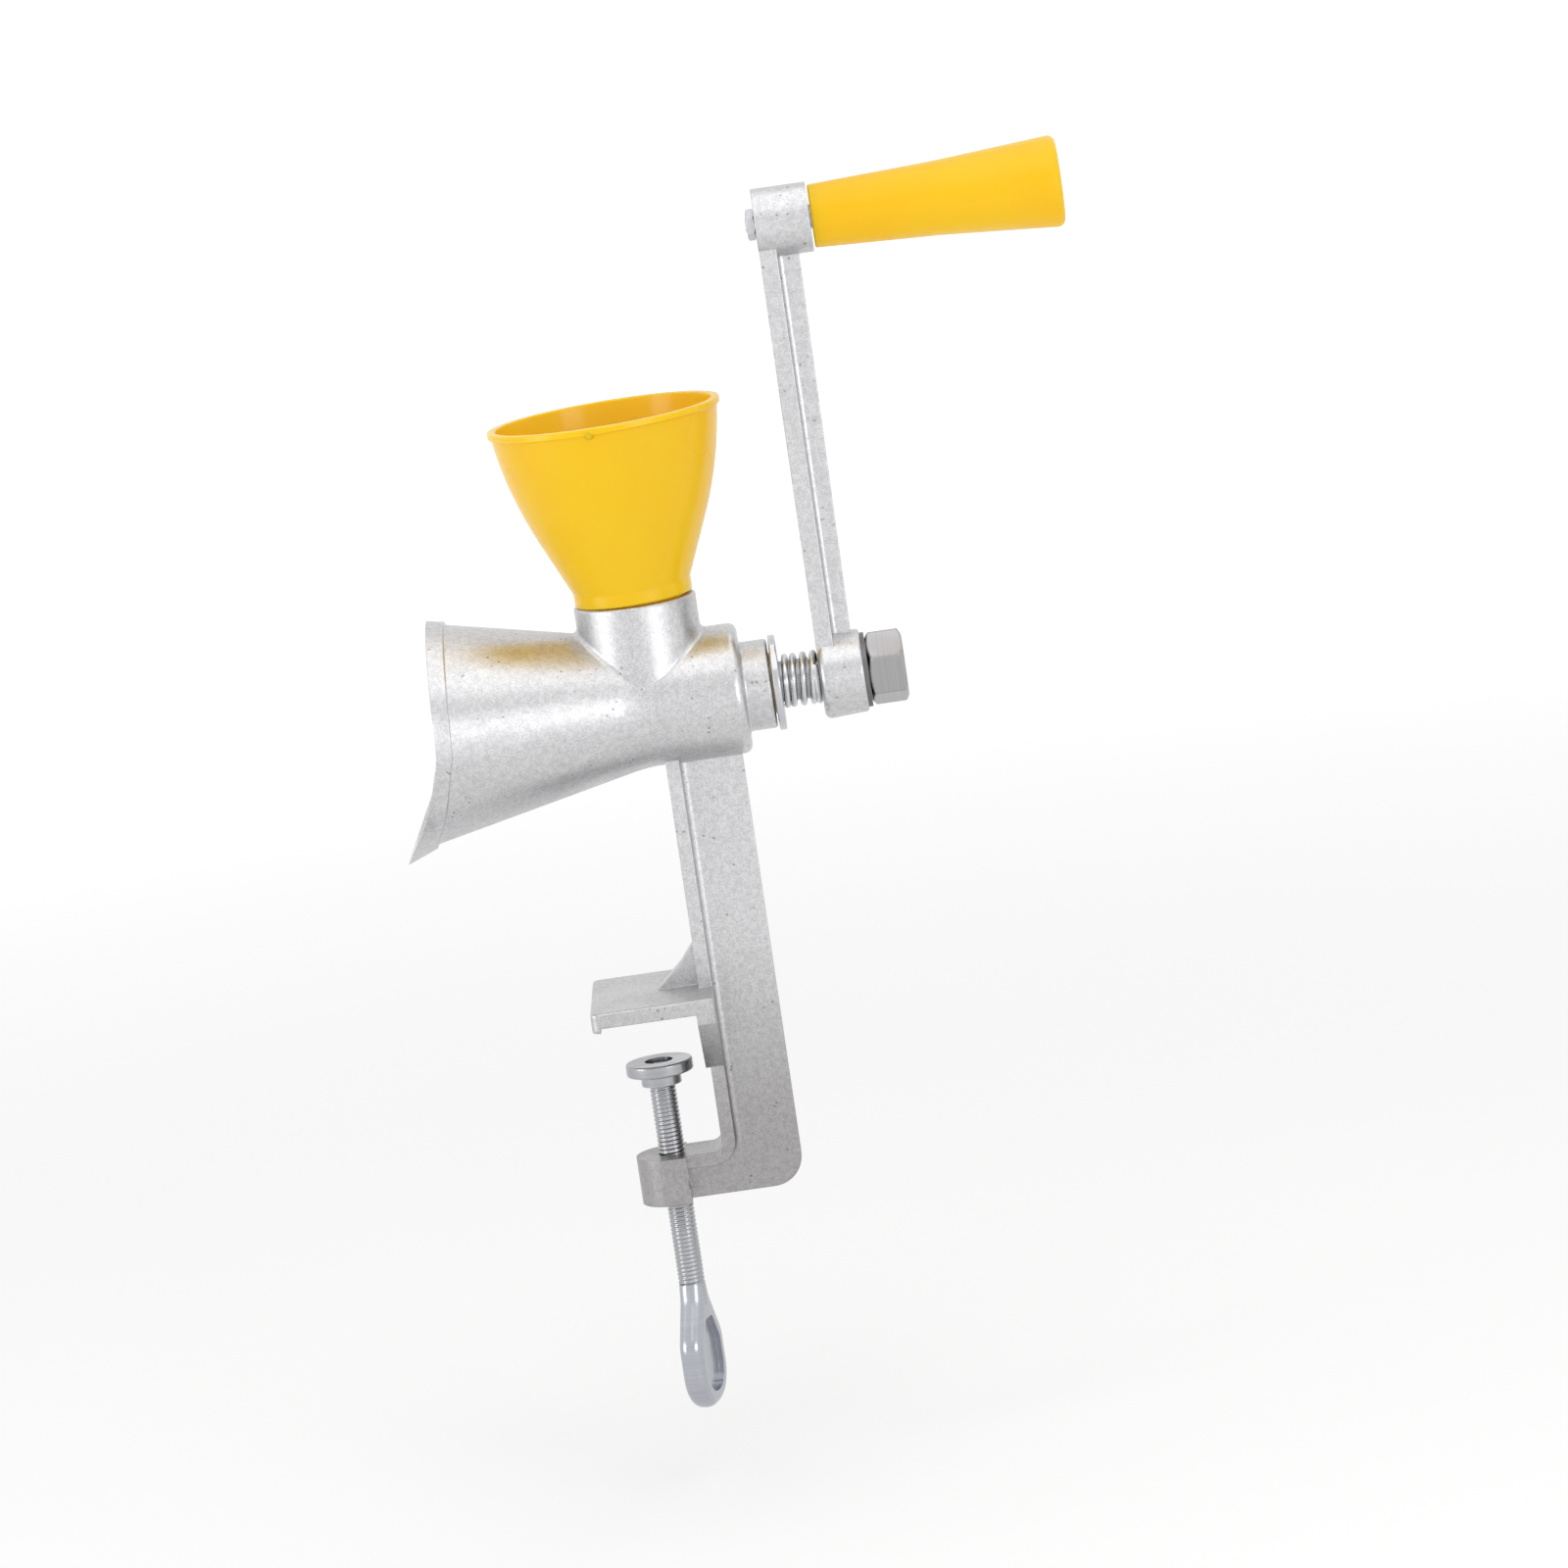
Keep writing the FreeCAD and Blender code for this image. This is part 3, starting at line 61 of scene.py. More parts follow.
class Tree:
    """A thin hand on a node tree: adds nodes, sets their sockets and links them."""

    def __init__(self, tree: bpy.types.NodeTree) -> None:
        """Keep the tree."""
        self.tree = tree

    def add(self, kind: str, inputs: dict | None = None, **settings: object) -> Node:
        """Add a node.

        Args:
            kind: The node's type name.
            inputs: Values or sockets for its inputs, by name or index.
            settings: Properties of the node.

        Returns:
            The new node.
        """
        node = self.tree.nodes.new(kind)
        for name, value in settings.items():
            setattr(node, name, value)
        for key, value in (inputs or {}).items():
            if isinstance(value, bpy.types.NodeSocket):
                self.link(value, node.inputs[key])
            else:
                node.inputs[key].default_value = value
        return node

    def link(self, source: Socket, target: Socket) -> None:
        """Link one socket to another."""
        self.tree.links.new(source, target)

    def math(self, operation: str, *values: object, clamp: bool = False) -> Socket:
        """Add a Math node and return its result.

        Args:
            operation: The operation's name.
            values: Numbers or sockets, in order.
            clamp: Whether the result is held between 0 and 1.

        Returns:
            The node's output socket.
        """
        node = self.add("ShaderNodeMath", dict(enumerate(values)), operation=operation,
                        use_clamp=clamp)
        return node.outputs[0]

    def ramp(self, value: Socket, low: float, high: float, to_low: float = 0.0,
             to_high: float = 1.0) -> Socket:
        """Map a value smoothly from one range to another.

        Args:
            value: The value to map.
            low: Where the mapping starts.
            high: Where it ends.
            to_low: The result at low.
            to_high: The result at high.

        Returns:
            The mapped value.
        """
        node = self.add("ShaderNodeMapRange", {0: value, 1: low, 2: high, 3: to_low, 4: to_high},
                        interpolation_type="SMOOTHSTEP")
        return node.outputs[0]

    def noise(self, vector: Socket, scale: object, detail: float = 3.0,
              roughness: float = 0.5) -> Socket:
        """Add a noise texture and return its value.

        Args:
            vector: Where the noise is read.
            scale: Its scale, a number or a socket.
            detail: Its octaves.
            roughness: How strong the finer octaves are.

        Returns:
            The noise's value.
        """
        node = self.add("ShaderNodeTexNoise", {"Vector": vector, "Scale": scale, "Detail": detail,
                                               "Roughness": roughness})
        return node.outputs[0]


def new_group(name: str, inputs: dict[str, float], outputs: list[str]) -> tuple[Tree, Node, Node]:
    """Start a shader node group.

    Args:
        name: The group's name.
        inputs: Its number inputs and their defaults; a vector input named Vector is added.
        outputs: Its value outputs.

    Returns:
        The tree, its input node and its output node.
    """
    group = bpy.data.node_groups.new(name, "ShaderNodeTree")
    group.interface.new_socket("Vector", in_out="INPUT", socket_type="NodeSocketVector")
    for label, default in inputs.items():
        socket = group.interface.new_socket(label, in_out="INPUT", socket_type="NodeSocketFloat")
        socket.default_value = default
    for label in outputs:
        group.interface.new_socket(label, in_out="OUTPUT", socket_type="NodeSocketFloat")
    tree = Tree(group)
    return tree, tree.add("NodeGroupInput"), tree.add("NodeGroupOutput")


@dataclass(frozen=True)
class CastSkin:
    """The skin of a die casting: fine grain, soft waves and scattered small pits."""

    fine_scale: float = 2100.0
    mottle_scale: float = 620.0
    wave_scale: float = 240.0
    pit_scale: float = 430.0
    chance_scale: float = 150.0
    pit_edge: tuple = (0.10, 0.24)
    pit_chance: tuple = (0.54, 0.64)
    wave_height: float = 1.2
    fine_share: float = 0.6
    mottle_share: float = 0.4
    sparkle: tuple = (0.36, 0.64)

    def build(self) -> bpy.types.NodeTree:
        """Build the group.

        Returns:
            The group, which puts out Height, Sparkle and Pitted.
        """
        tree, enter, leave = new_group("cast_skin", {"Grain": 1.0, "Pits": 1.0},
                                       ["Height", "Sparkle", "Pitted"])
        vector = enter.outputs["Vector"]
        fine = tree.noise(vector, self.fine_scale, 2.0)
        mottle = tree.noise(vector, self.mottle_scale, 3.0)
        waves = tree.noise(vector, self.wave_scale, 2.0)
        cells = tree.add("ShaderNodeTexVoronoi", {"Vector": vector, "Scale": self.pit_scale,
                                                  "Randomness": 1.0})
        chance = tree.noise(vector, self.chance_scale, 1.0)
        dot = tree.ramp(cells.outputs["Distance"], *self.pit_edge, 1.0, 0.0)
        pitted = tree.math("MULTIPLY", dot, tree.ramp(chance, *self.pit_chance), clamp=True)
        pitted = tree.math("MULTIPLY", pitted, enter.outputs["Pits"], clamp=True)
        grain = tree.math("MULTIPLY", fine, enter.outputs["Grain"])
        height = tree.math("ADD", grain, tree.math("MULTIPLY", waves, self.wave_height))
        shine = tree.math("ADD", tree.math("MULTIPLY", fine, self.fine_share),
                          tree.math("MULTIPLY", mottle, self.mottle_share))
        tree.link(tree.math("SUBTRACT", height, pitted), leave.inputs["Height"])
        tree.link(tree.ramp(shine, *self.sparkle), leave.inputs["Sparkle"])
        tree.link(pitted, leave.inputs["Pitted"])
        return tree.tree


@dataclass(frozen=True)
class Handled:
    """Signs of handling: broad dull patches and a little fine scatter."""

    patch_edge: tuple = (0.35, 0.7)
    fine_scale: float = 1500.0

    def build(self) -> bpy.types.NodeTree:
        """Build the group.

        Returns:
            The group, which puts out Smudge and Fine.
        """
        tree, enter, leave = new_group("handled", {"Scale": 60.0}, ["Smudge", "Fine"])
        vector = enter.outputs["Vector"]
        patches = tree.noise(vector, enter.outputs["Scale"])
        tree.link(tree.ramp(patches, *self.patch_edge), leave.inputs["Smudge"])
        tree.link(tree.noise(vector, self.fine_scale, 2.0), leave.inputs["Fine"])
        return tree.tree


@dataclass(frozen=True)
class Turned:
    """Fine turning lines round an axis: streaks that are long across it and short along it."""

    across: float = 30.0
    along: float = 2600.0

    def build(self) -> bpy.types.NodeTree:
        """Build the group.

        Returns:
            The group, which puts out Lines.
        """
        tree, enter, leave = new_group("turned", {"Across": self.across, "Along": self.along},
                                       ["Lines"])
        stretch = tree.add("ShaderNodeCombineXYZ", {0: enter.outputs["Along"],
                                                    1: enter.outputs["Across"],
                                                    2: enter.outputs["Across"]})
        scaled = tree.add("ShaderNodeVectorMath", {0: enter.outputs["Vector"],
                                                   1: stretch.outputs[0]}, operation="MULTIPLY")
        tree.link(tree.noise(scaled.outputs[0], 1.0, 2.0), leave.inputs["Lines"])
        return tree.tree


class Effects:
    """The shared shader groups, each made once."""

    def __init__(self) -> None:
        """Make the groups."""
        self.cast_skin = CastSkin().build()
        self.handled = Handled().build()
        self.turned = Turned().build()

    def place(self, tree: Tree, group: bpy.types.NodeTree, vector: Socket,
              **values: float) -> Node:
        """Put one of the groups in a material.

        Args:
            tree: The material's tree.
            group: The group.
            vector: The position that it reads.
            values: Its number inputs, by name.

        Returns:
            The group's node.
        """
        node = tree.add("ShaderNodeGroup", node_tree=group)
        tree.link(vector, node.inputs["Vector"])
        for name, value in values.items():
            node.inputs[name].default_value = value
        return node


class Axis(Enum):
    """The axis that a turned piece was turned about, as a rotation that brings it to X."""

    X = (0.0, 0.0, 0.0)
    Z = (0.0, math.pi / 2, 0.0)


# ---------------------------------------------------------------------------------------------
# Finishes
# ---------------------------------------------------------------------------------------------

@dataclass(frozen=True)
class Finish:
    """What all finishes share: a name and one Principled shader that reads object positions."""

    name: str

    def begin(self) -> tuple[bpy.types.Material, Tree, Node, Socket]:
        """Start the material.

        Returns:
            The material, its tree, its Principled node and the object position.
        """
        material = bpy.data.materials.new(self.name)
        material.use_nodes = True
        tree = Tree(material.node_tree)
        shader = material.node_tree.nodes["Principled BSDF"]
        where = tree.add("ShaderNodeTexCoord").outputs["Object"]
        return material, tree, shader, where

    @staticmethod
    def mix(tree: Tree, share: Socket, first: tuple, second: tuple) -> Socket:
        """Blend two colours.

        Args:
            tree: The material's tree.
            share: How much of the second colour shows.
            first: The colour at 0, as linear red, green and blue.
            second: The colour at 1.

        Returns:
            The blended colour.
        """
        node = tree.add("ShaderNodeMix", data_type="RGBA")
        tree.link(share, node.inputs[0])
        node.inputs[6].default_value = (*first, 1.0)
        node.inputs[7].default_value = (*second, 1.0)
        return node.outputs[2]

    @staticmethod
    def wear(tree: Tree, shader: Node, worn: Node, roughness: tuple) -> None:
        """Let the handled patches be rougher than the rest.

        Args:
            tree: The material's tree.
            shader: The Principled node.
            worn: The placed group of handling marks.
            roughness: The roughness where clean and where worn.
        """
        tree.link(tree.ramp(worn.outputs["Smudge"], 0.0, 1.0, *roughness),
                  shader.inputs["Roughness"])

    @staticmethod
    def tint(tree: Tree, share: Socket, colour: Socket, by: tuple) -> Socket:
        """Multiply a colour where a mask says so.

        Args:
            tree: The material's tree.
            share: The mask, 0 where the colour stays.
            colour: The colour.
            by: What it is multiplied by, as linear red, green and blue.

        Returns:
            The tinted colour.
        """
        node = tree.add("ShaderNodeMix", data_type="RGBA", blend_type="MULTIPLY")
        tree.link(share, node.inputs[0])
        tree.link(colour, node.inputs[6])
        node.inputs[7].default_value = (*by, 1.0)
        return node.outputs[2]

    @staticmethod
    def bump(tree: Tree, shader: Node, height: Socket, depth: float,
             edge: float = 0.0) -> None:
        """Feed a bump, over softly rounded edges if asked.

        Args:
            tree: The material's tree.
            shader: The Principled node.
            height: The bump's height.
            depth: How deep it is, in metres.
            edge: The radius of the rounded edges, in metres, or 0.
        """
        node = tree.add("ShaderNodeBump", {"Height": height, "Distance": depth, "Strength": 1.0})
        if edge:
            soft = tree.add("ShaderNodeBevel", {"Radius": edge}, samples=4)
            tree.link(soft.outputs[0], node.inputs["Normal"])
        tree.link(node.outputs[0], shader.inputs["Normal"])


@dataclass(frozen=True)
class CastAluminium(Finish):
    """Bright tumbled die casting, with grain, sparkle, small pits tinted dark with painted shade,
    and painted shade towards its foot.
    """

    bright: tuple = (0.66, 0.66, 0.67)
    dull: tuple = (0.51, 0.51, 0.52)
    # Painted shade: the tint, and the heights between which the casting darkens towards its foot.
    painted_low_shade: tuple = (0.60, 0.585, 0.575)
    painted_shade_z: tuple = (30.0 * MM, -45.0 * MM)
    # Painted shade: the dark tint of the pits' hollows.
    pit_shade: tuple = (0.42, 0.41, 0.40)
    pits: float = 0.8
    wear_scale: float = 45.0
    roughness: tuple = (0.32, 0.44)
    depth: float = 0.022 * MM
    edge: float = 0.6 * MM

    def material(self, effects: Effects) -> bpy.types.Material:
        """Build the material.

        Args:
            effects: The shared shader groups.

        Returns:
            The material.
        """
        material, tree, shader, where = self.begin()
        skin = effects.place(tree, effects.cast_skin, where, Grain=1.0, Pits=self.pits)
        worn = effects.place(tree, effects.handled, where, Scale=self.wear_scale)
        colour = self.mix(tree, skin.outputs["Sparkle"], self.dull, self.bright)
        # The pits are tinted dark: painted shade in their hollows.
        colour = self.tint(tree, skin.outputs["Pitted"], colour, self.pit_shade)
        # Darker and a touch warmer towards the foot: painted shade, standing in for the light
        # falling off lower down.
        height = tree.add("ShaderNodeSeparateXYZ", {0: where}).outputs[2]
        colour = self.tint(tree, tree.ramp(height, *self.painted_shade_z), colour, self.painted_low_shade)
        tree.link(colour, shader.inputs["Base Color"])
        self.wear(tree, shader, worn, self.roughness)
        shader.inputs["Metallic"].default_value = 1.0
        self.bump(tree, shader, skin.outputs["Height"], self.depth, self.edge)
        return material


@dataclass(frozen=True)
class YellowPlastic(Finish):
    """Glossy moulded plastic, a touch translucent, its colour drifting a little."""

    light: tuple = (1.0, 0.585, 0.006)
    deep: tuple = (1.0, 0.535, 0.003)
    roughness: tuple = (0.20, 0.28)
    wear_scale: float = 14.0
    gloss: float = 0.30
    milkiness: float = 0.5
    bleed: tuple = (0.008, 0.005, 0.001)
    depth: float = 0.008 * MM

    def material(self, effects: Effects) -> bpy.types.Material:
        """Build the material.

        Args:
            effects: The shared shader groups.

        Returns:
            The material.
        """
        material, tree, shader, where = self.begin()
        worn = effects.place(tree, effects.handled, where, Scale=self.wear_scale)
        tree.link(self.mix(tree, worn.outputs["Smudge"], self.light, self.deep),
                  shader.inputs["Base Color"])
        self.wear(tree, shader, worn, self.roughness)
        shader.inputs["Specular IOR Level"].default_value = self.gloss
        shader.inputs["Subsurface Weight"].default_value = self.milkiness
        shader.inputs["Subsurface Radius"].default_value = self.bleed
        shader.inputs["Subsurface Scale"].default_value = 1.0
        self.bump(tree, shader, worn.outputs["Fine"], self.depth)
        return material


@dataclass(frozen=True)
class TurnedMetal(Finish):
    """A turned or plated metal: fine lines round its axis under a thin wear of handling."""

    bright: tuple
    dull: tuple
    roughness: tuple = (0.14, 0.30)
    axis: Axis = Axis.X
    wear_scale: float = 90.0
    line_depth: float = 0.006 * MM
    edge: float = 0.25 * MM

    def material(self, effects: Effects) -> bpy.types.Material:
        """Build the material.

        Args:
            effects: The shared shader groups.

        Returns:
            The material.
        """
        material, tree, shader, where = self.begin()
        turn = tree.add("ShaderNodeMapping", {"Vector": where, "Rotation": self.axis.value})
        lines = effects.place(tree, effects.turned, turn.outputs[0])
        worn = effects.place(tree, effects.handled, where, Scale=self.wear_scale)
        tree.link(self.mix(tree, lines.outputs["Lines"], self.dull, self.bright),
                  shader.inputs["Base Color"])
        self.wear(tree, shader, worn, self.roughness)
        shader.inputs["Metallic"].default_value = 1.0
        self.bump(tree, shader, lines.outputs["Lines"], self.line_depth, self.edge)
        return material


class Finishes:
    """Every finish of the grinder, by the record's material slot."""

    def __init__(self, effects: Effects) -> None:
        """Build all the materials."""
        kinds: dict[str, Finish] = {
            "cast_aluminium": CastAluminium("cast_aluminium_skin"),
            "yellow_funnel": YellowPlastic("yellow_funnel_plastic"),
            "yellow_grip": YellowPlastic("yellow_grip_plastic", roughness=(0.28, 0.42)),
            "cast_burr": TurnedMetal("burr_iron", (0.30, 0.30, 0.31), (0.16, 0.16, 0.17),
                                     (0.45, 0.65)),
            "shaft_steel": TurnedMetal("turned_shaft_steel", (0.42, 0.42, 0.43),
                                       (0.22, 0.22, 0.23), (0.22, 0.36)),
            # The brass is darkened so that it shows as a dark line beside the thrust washer:
            # painted shade of the gap there.
            "bush_brass": TurnedMetal("turned_brass_gap_shade", (0.36, 0.27, 0.14), (0.22, 0.16, 0.08),
                                      (0.22, 0.36)),
            "zinc_steel": TurnedMetal("zinc_plate", (0.66, 0.67, 0.69), (0.46, 0.47, 0.49)),
            "screw_zinc": TurnedMetal("zinc_plate_upright", (0.48, 0.485, 0.50),
                                      (0.30, 0.305, 0.32), axis=Axis.Z),
            "spring_steel": TurnedMetal("spring_wire", (0.74, 0.75, 0.76), (0.48, 0.49, 0.50)),
            # Dark steel, kept this dark so that the washer reads as the dark line between the
            # crank hub and the nut: partly its own colour, partly painted shade of the gap.
            "dark_steel": TurnedMetal("dark_steel_gap_shade", (0.22, 0.22, 0.23), (0.12, 0.12, 0.125),
                                      (0.35, 0.55)),
            "nut_chrome": TurnedMetal("bright_nickel", (0.42, 0.415, 0.42), (0.31, 0.305, 0.31),
                                      (0.10, 0.20), edge=1.1 * MM),
            "wing_zinc": TurnedMetal("polished_wing", (0.50, 0.51, 0.55), (0.37, 0.38, 0.42),
                                     (0.20, 0.32), Axis.Z),
        }
        self.by_slot = {slot: finish.material(effects) for slot, finish in kinds.items()}

    def dress(self, obj: bpy.types.Object, slot: str) -> None:
        """Give an object one finish all over."""
        obj.data.materials.clear()
        obj.data.materials.append(self.by_slot[slot])


# ---------------------------------------------------------------------------------------------
# Geometry Nodes helpers
# ---------------------------------------------------------------------------------------------

class Shape:
    """A Geometry Nodes tree with named number inputs that ends as one plain mesh."""

    def __init__(self, name: str, inputs: dict[str, float], material: bpy.types.Material) -> None:
        """Start the tree.

        Args:
            name: The name of the tree and of the piece it makes.
            inputs: The tree's number inputs and their values.
            material: The finish set at its end.
        """
        self.name = name
        self.values = inputs
        self.material = material
        self.group = bpy.data.node_groups.new(name + "_shape", "GeometryNodeTree")
        self.group.interface.new_socket("Geometry", in_out="OUTPUT",
                                        socket_type="NodeSocketGeometry")
        self.sockets = {label: self.group.interface.new_socket(
            label, in_out="INPUT", socket_type="NodeSocketFloat") for label in inputs}
        self.tree = Tree(self.group)
        self.enter = self.tree.add("NodeGroupInput")

    def value(self, label: str) -> Socket:
        """The socket of one of the named inputs."""
        return self.enter.outputs[label]

    def finish(self, geometry: Socket, body: str, slot: str,
               smooth: float = 40.0) -> bpy.types.Object:
        """End the tree, turn its result into a plain mesh and ride it on a body.

        Args:
            geometry: The tree's last geometry.
            body: The CAD body that the piece rides on.
            slot: The record's material slot; not used.
            smooth: The angle in degrees below which neighbouring faces shade as one.

        Returns:
            The finished piece.
        """
        real = self.tree.add("GeometryNodeRealizeInstances", {0: geometry})
        dressed = self.tree.add("GeometryNodeSetMaterial", {"Geometry": real.outputs[0],
                                                            "Material": self.material})
        leave = self.tree.add("NodeGroupOutput")
        self.tree.link(dressed.outputs[0], leave.inputs[0])
        holder = bpy.data.objects.new(self.name + "_holder", bpy.data.meshes.new(self.name))
        bpy.context.scene.collection.objects.link(holder)
        modifier = holder.modifiers.new("shape", "NODES")
        modifier.node_group = self.group
        for label, number in self.values.items():
            modifier[self.sockets[label].identifier] = number
        graph = bpy.context.evaluated_depsgraph_get()
        mesh = bpy.data.meshes.new_from_object(holder.evaluated_get(graph), depsgraph=graph)
        bpy.data.objects.remove(holder)
        mesh.name = self.name
        piece = bpy.data.objects.new(self.name, mesh)
        bpy.context.scene.collection.objects.link(piece)
        for polygon in mesh.polygons:
            polygon.use_smooth = True
        mesh.set_sharp_from_angle(angle=math.radians(smooth))
        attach(piece, body)
        return piece


# ---------------------------------------------------------------------------------------------
# Sub-assemblies
# ---------------------------------------------------------------------------------------------

@dataclass
class Assembly:
    """Some CAD nodes that keep their shape and are dressed by slot."""

    finishes: Finishes
    slots: dict[str, str] = field(default_factory=dict)

    def dress_nodes(self) -> list[str]:
        """Dress each node.

        Returns:
            The names of the dressed nodes.
        """
        for node, slot in self.slots.items():
            self.finishes.dress(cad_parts[node], slot)
        return list(self.slots)


@dataclass
class Mill(Assembly):
    """The casting with its pressed-in ring, its bush and the thrust washer."""

    slots: dict[str, str] = field(default_factory=lambda: {
        "mill_body": "cast_aluminium", "grinding_ring": "cast_burr", "rear_bush": "bush_brass",
        "thrust_washer": "zinc_steel"})


@dataclass
class Funnel(Assembly):
    """The push-in funnel, with the moulding's small gate mark under its rim."""

    slots: dict[str, str] = field(default_factory=lambda: {"hopper_funnel": "yellow_funnel"})
    nub_place: tuple = (8.0 * MM, -33.5 * MM, 173.8 * MM)
    nub_out: tuple = (-0.145, -0.985, -0.10)
    nub_radius: float = 1.7 * MM
    nub_height: float = 0.75 * MM
    nub_fullness: float = 0.8
    nub_rings: int = 8
    nub_spokes: int = 20

    def build_nub(self) -> bpy.types.Object:
        """The gate mark, a low dome whose foot flows into the wall.

        Returns:
            The finished nub.
        """
        out = Vector(self.nub_out).normalized()
        side = out.orthogonal().normalized()
        rise = out.cross(side)
        place = Vector(self.nub_place)
        rings, spokes = self.nub_rings, self.nub_spokes
        points = [place - out * self.nub_height, place + out * self.nub_height]
        for ring in range(1, rings + 1):
            share = ring / rings
            lift = self.nub_height * math.cos(share * math.pi)
            width = self.nub_radius * math.sin(share * math.pi / 2) ** self.nub_fullness
            for spoke in range(spokes):
                turn = math.tau * spoke / spokes
                points.append(place + out * lift + width * (side * math.cos(turn)
                                                            + rise * math.sin(turn)))
        faces = []
        for spoke in range(spokes):
            after = (spoke + 1) % spokes
            faces.append((1, 2 + spoke, 2 + after))
            for ring in range(rings - 1):
                near, far = 2 + ring * spokes, 2 + (ring + 1) * spokes
                faces.append((near + spoke, far + spoke, far + after, near + after))
            last = 2 + (rings - 1) * spokes
            faces.append((last + spoke, 0, last + after))
        mesh = bpy.data.meshes.new("gate_nub")
        mesh.from_pydata(points, [], faces)
        for polygon in mesh.polygons:
            polygon.use_smooth = True
        nub = bpy.data.objects.new("gate_nub", mesh)
        bpy.context.scene.collection.objects.link(nub)
        self.finishes.dress(nub, "yellow_funnel")
        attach(nub, "funnel")
        return nub


@dataclass
class Drive(Assembly):
    """The shaft with its toothed cone, and the pressure spring round it."""

    slots: dict[str, str] = field(default_factory=lambda: {
        "auger_shaft": "shaft_steel", "rotor_burr": "cast_burr", "rotor_washer": "zinc_steel",
        "rotor_screw": "zinc_steel"})
    start_x: float = 52.05 * MM
    end_x: float = 63.5 * MM
    axis_z: float = 90.0 * MM
    coil_radius: float = 7.05 * MM
    wire_radius: float = 0.95 * MM
    turns: float = 4.35
    closed_turns: float = 1.75
    coil_steps: int = 40
    wire_sides: int = 14
    keep: float = 0.847

    def build_spring(self) -> bpy.types.Object:
        """The spring, as a coil swept round the shaft.

        Returns:
            The finished spring.
        """
        length = self.end_x - self.start_x - 2 * self.wire_radius
        shape = Shape("pressure_spring", {"Turns": self.turns, "Coil radius": self.coil_radius,
                                          "Wire radius": self.wire_radius, "Length": length,
                                          "Start": self.start_x + self.wire_radius,
                                          "Height": self.axis_z},
                      self.finishes.by_slot["spring_steel"])
        tree = shape.tree
        coil = tree.add("GeometryNodeCurveSpiral", {
            "Resolution": self.coil_steps, "Rotations": shape.value("Turns"),
            "Start Radius": shape.value("Coil radius"), "End Radius": shape.value("Coil radius"),
            "Height": shape.value("Length")})
        spot = tree.add("ShaderNodeSeparateXYZ", {0: tree.add("GeometryNodeInputPosition")
                                                  .outputs[0]})
        share = tree.math("DIVIDE", spot.outputs[2], shape.value("Length"))
        closed = tree.math("DIVIDE", 1.0, shape.value("Turns"))
        thickness = tree.math("MULTIPLY", shape.value("Wire radius"), 2.0)
        tight = tree.math("DIVIDE", tree.math("MINIMUM", share, closed), closed)
        tight = tree.math("MULTIPLY", tight, thickness)
        rest = tree.math("SUBTRACT", shape.value("Length"), thickness)
        ends = tree.math("MULTIPLY", closed, self.closed_turns)
        loose = tree.math("DIVIDE", tree.math("SUBTRACT", share, closed),
                          tree.math("SUBTRACT", 1.0, ends), clamp=True)
        along = tree.math("MULTIPLY_ADD", loose, rest, tight)
        lifted = tree.add("ShaderNodeCombineXYZ", {0: spot.outputs[0], 1: spot.outputs[1],
                                                   2: along})
        coil = tree.add("GeometryNodeSetPosition", {"Geometry": coil.outputs[0],
                                                    "Position": lifted.outputs[0]})
        wire = tree.add("GeometryNodeCurvePrimitiveCircle", {
            "Resolution": self.wire_sides, "Radius": shape.value("Wire radius")})
        swept = tree.add("GeometryNodeCurveToMesh", {"Curve": coil.outputs[0],
                                                     "Profile Curve": wire.outputs[0],
                                                     "Fill Caps": True})
        place = tree.add("ShaderNodeCombineXYZ", {0: shape.value("Start"),
                                                  2: shape.value("Height")})
        laid = tree.add("GeometryNodeTransform", {"Geometry": swept.outputs[0],
                                                  "Translation": place.outputs[0],
                                                  "Rotation": (0.0, math.pi / 2, 0.0)})
        spring = shape.finish(laid.outputs[0], "shaft", "spring_steel")
        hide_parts("tension_spring")
        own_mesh(spring)
        return spring


@dataclass
class Crank(Assembly):
    """The crank with its washer and nut, and the grip on its bolt."""

    slots: dict[str, str] = field(default_factory=lambda: {
        "crank_arm": "cast_aluminium", "crank_washer": "dark_steel", "crank_nut": "nut_chrome",
        "grip": "yellow_grip", "grip_bolt": "zinc_steel", "grip_washer": "zinc_steel",
        "grip_lock_nut": "zinc_steel"})


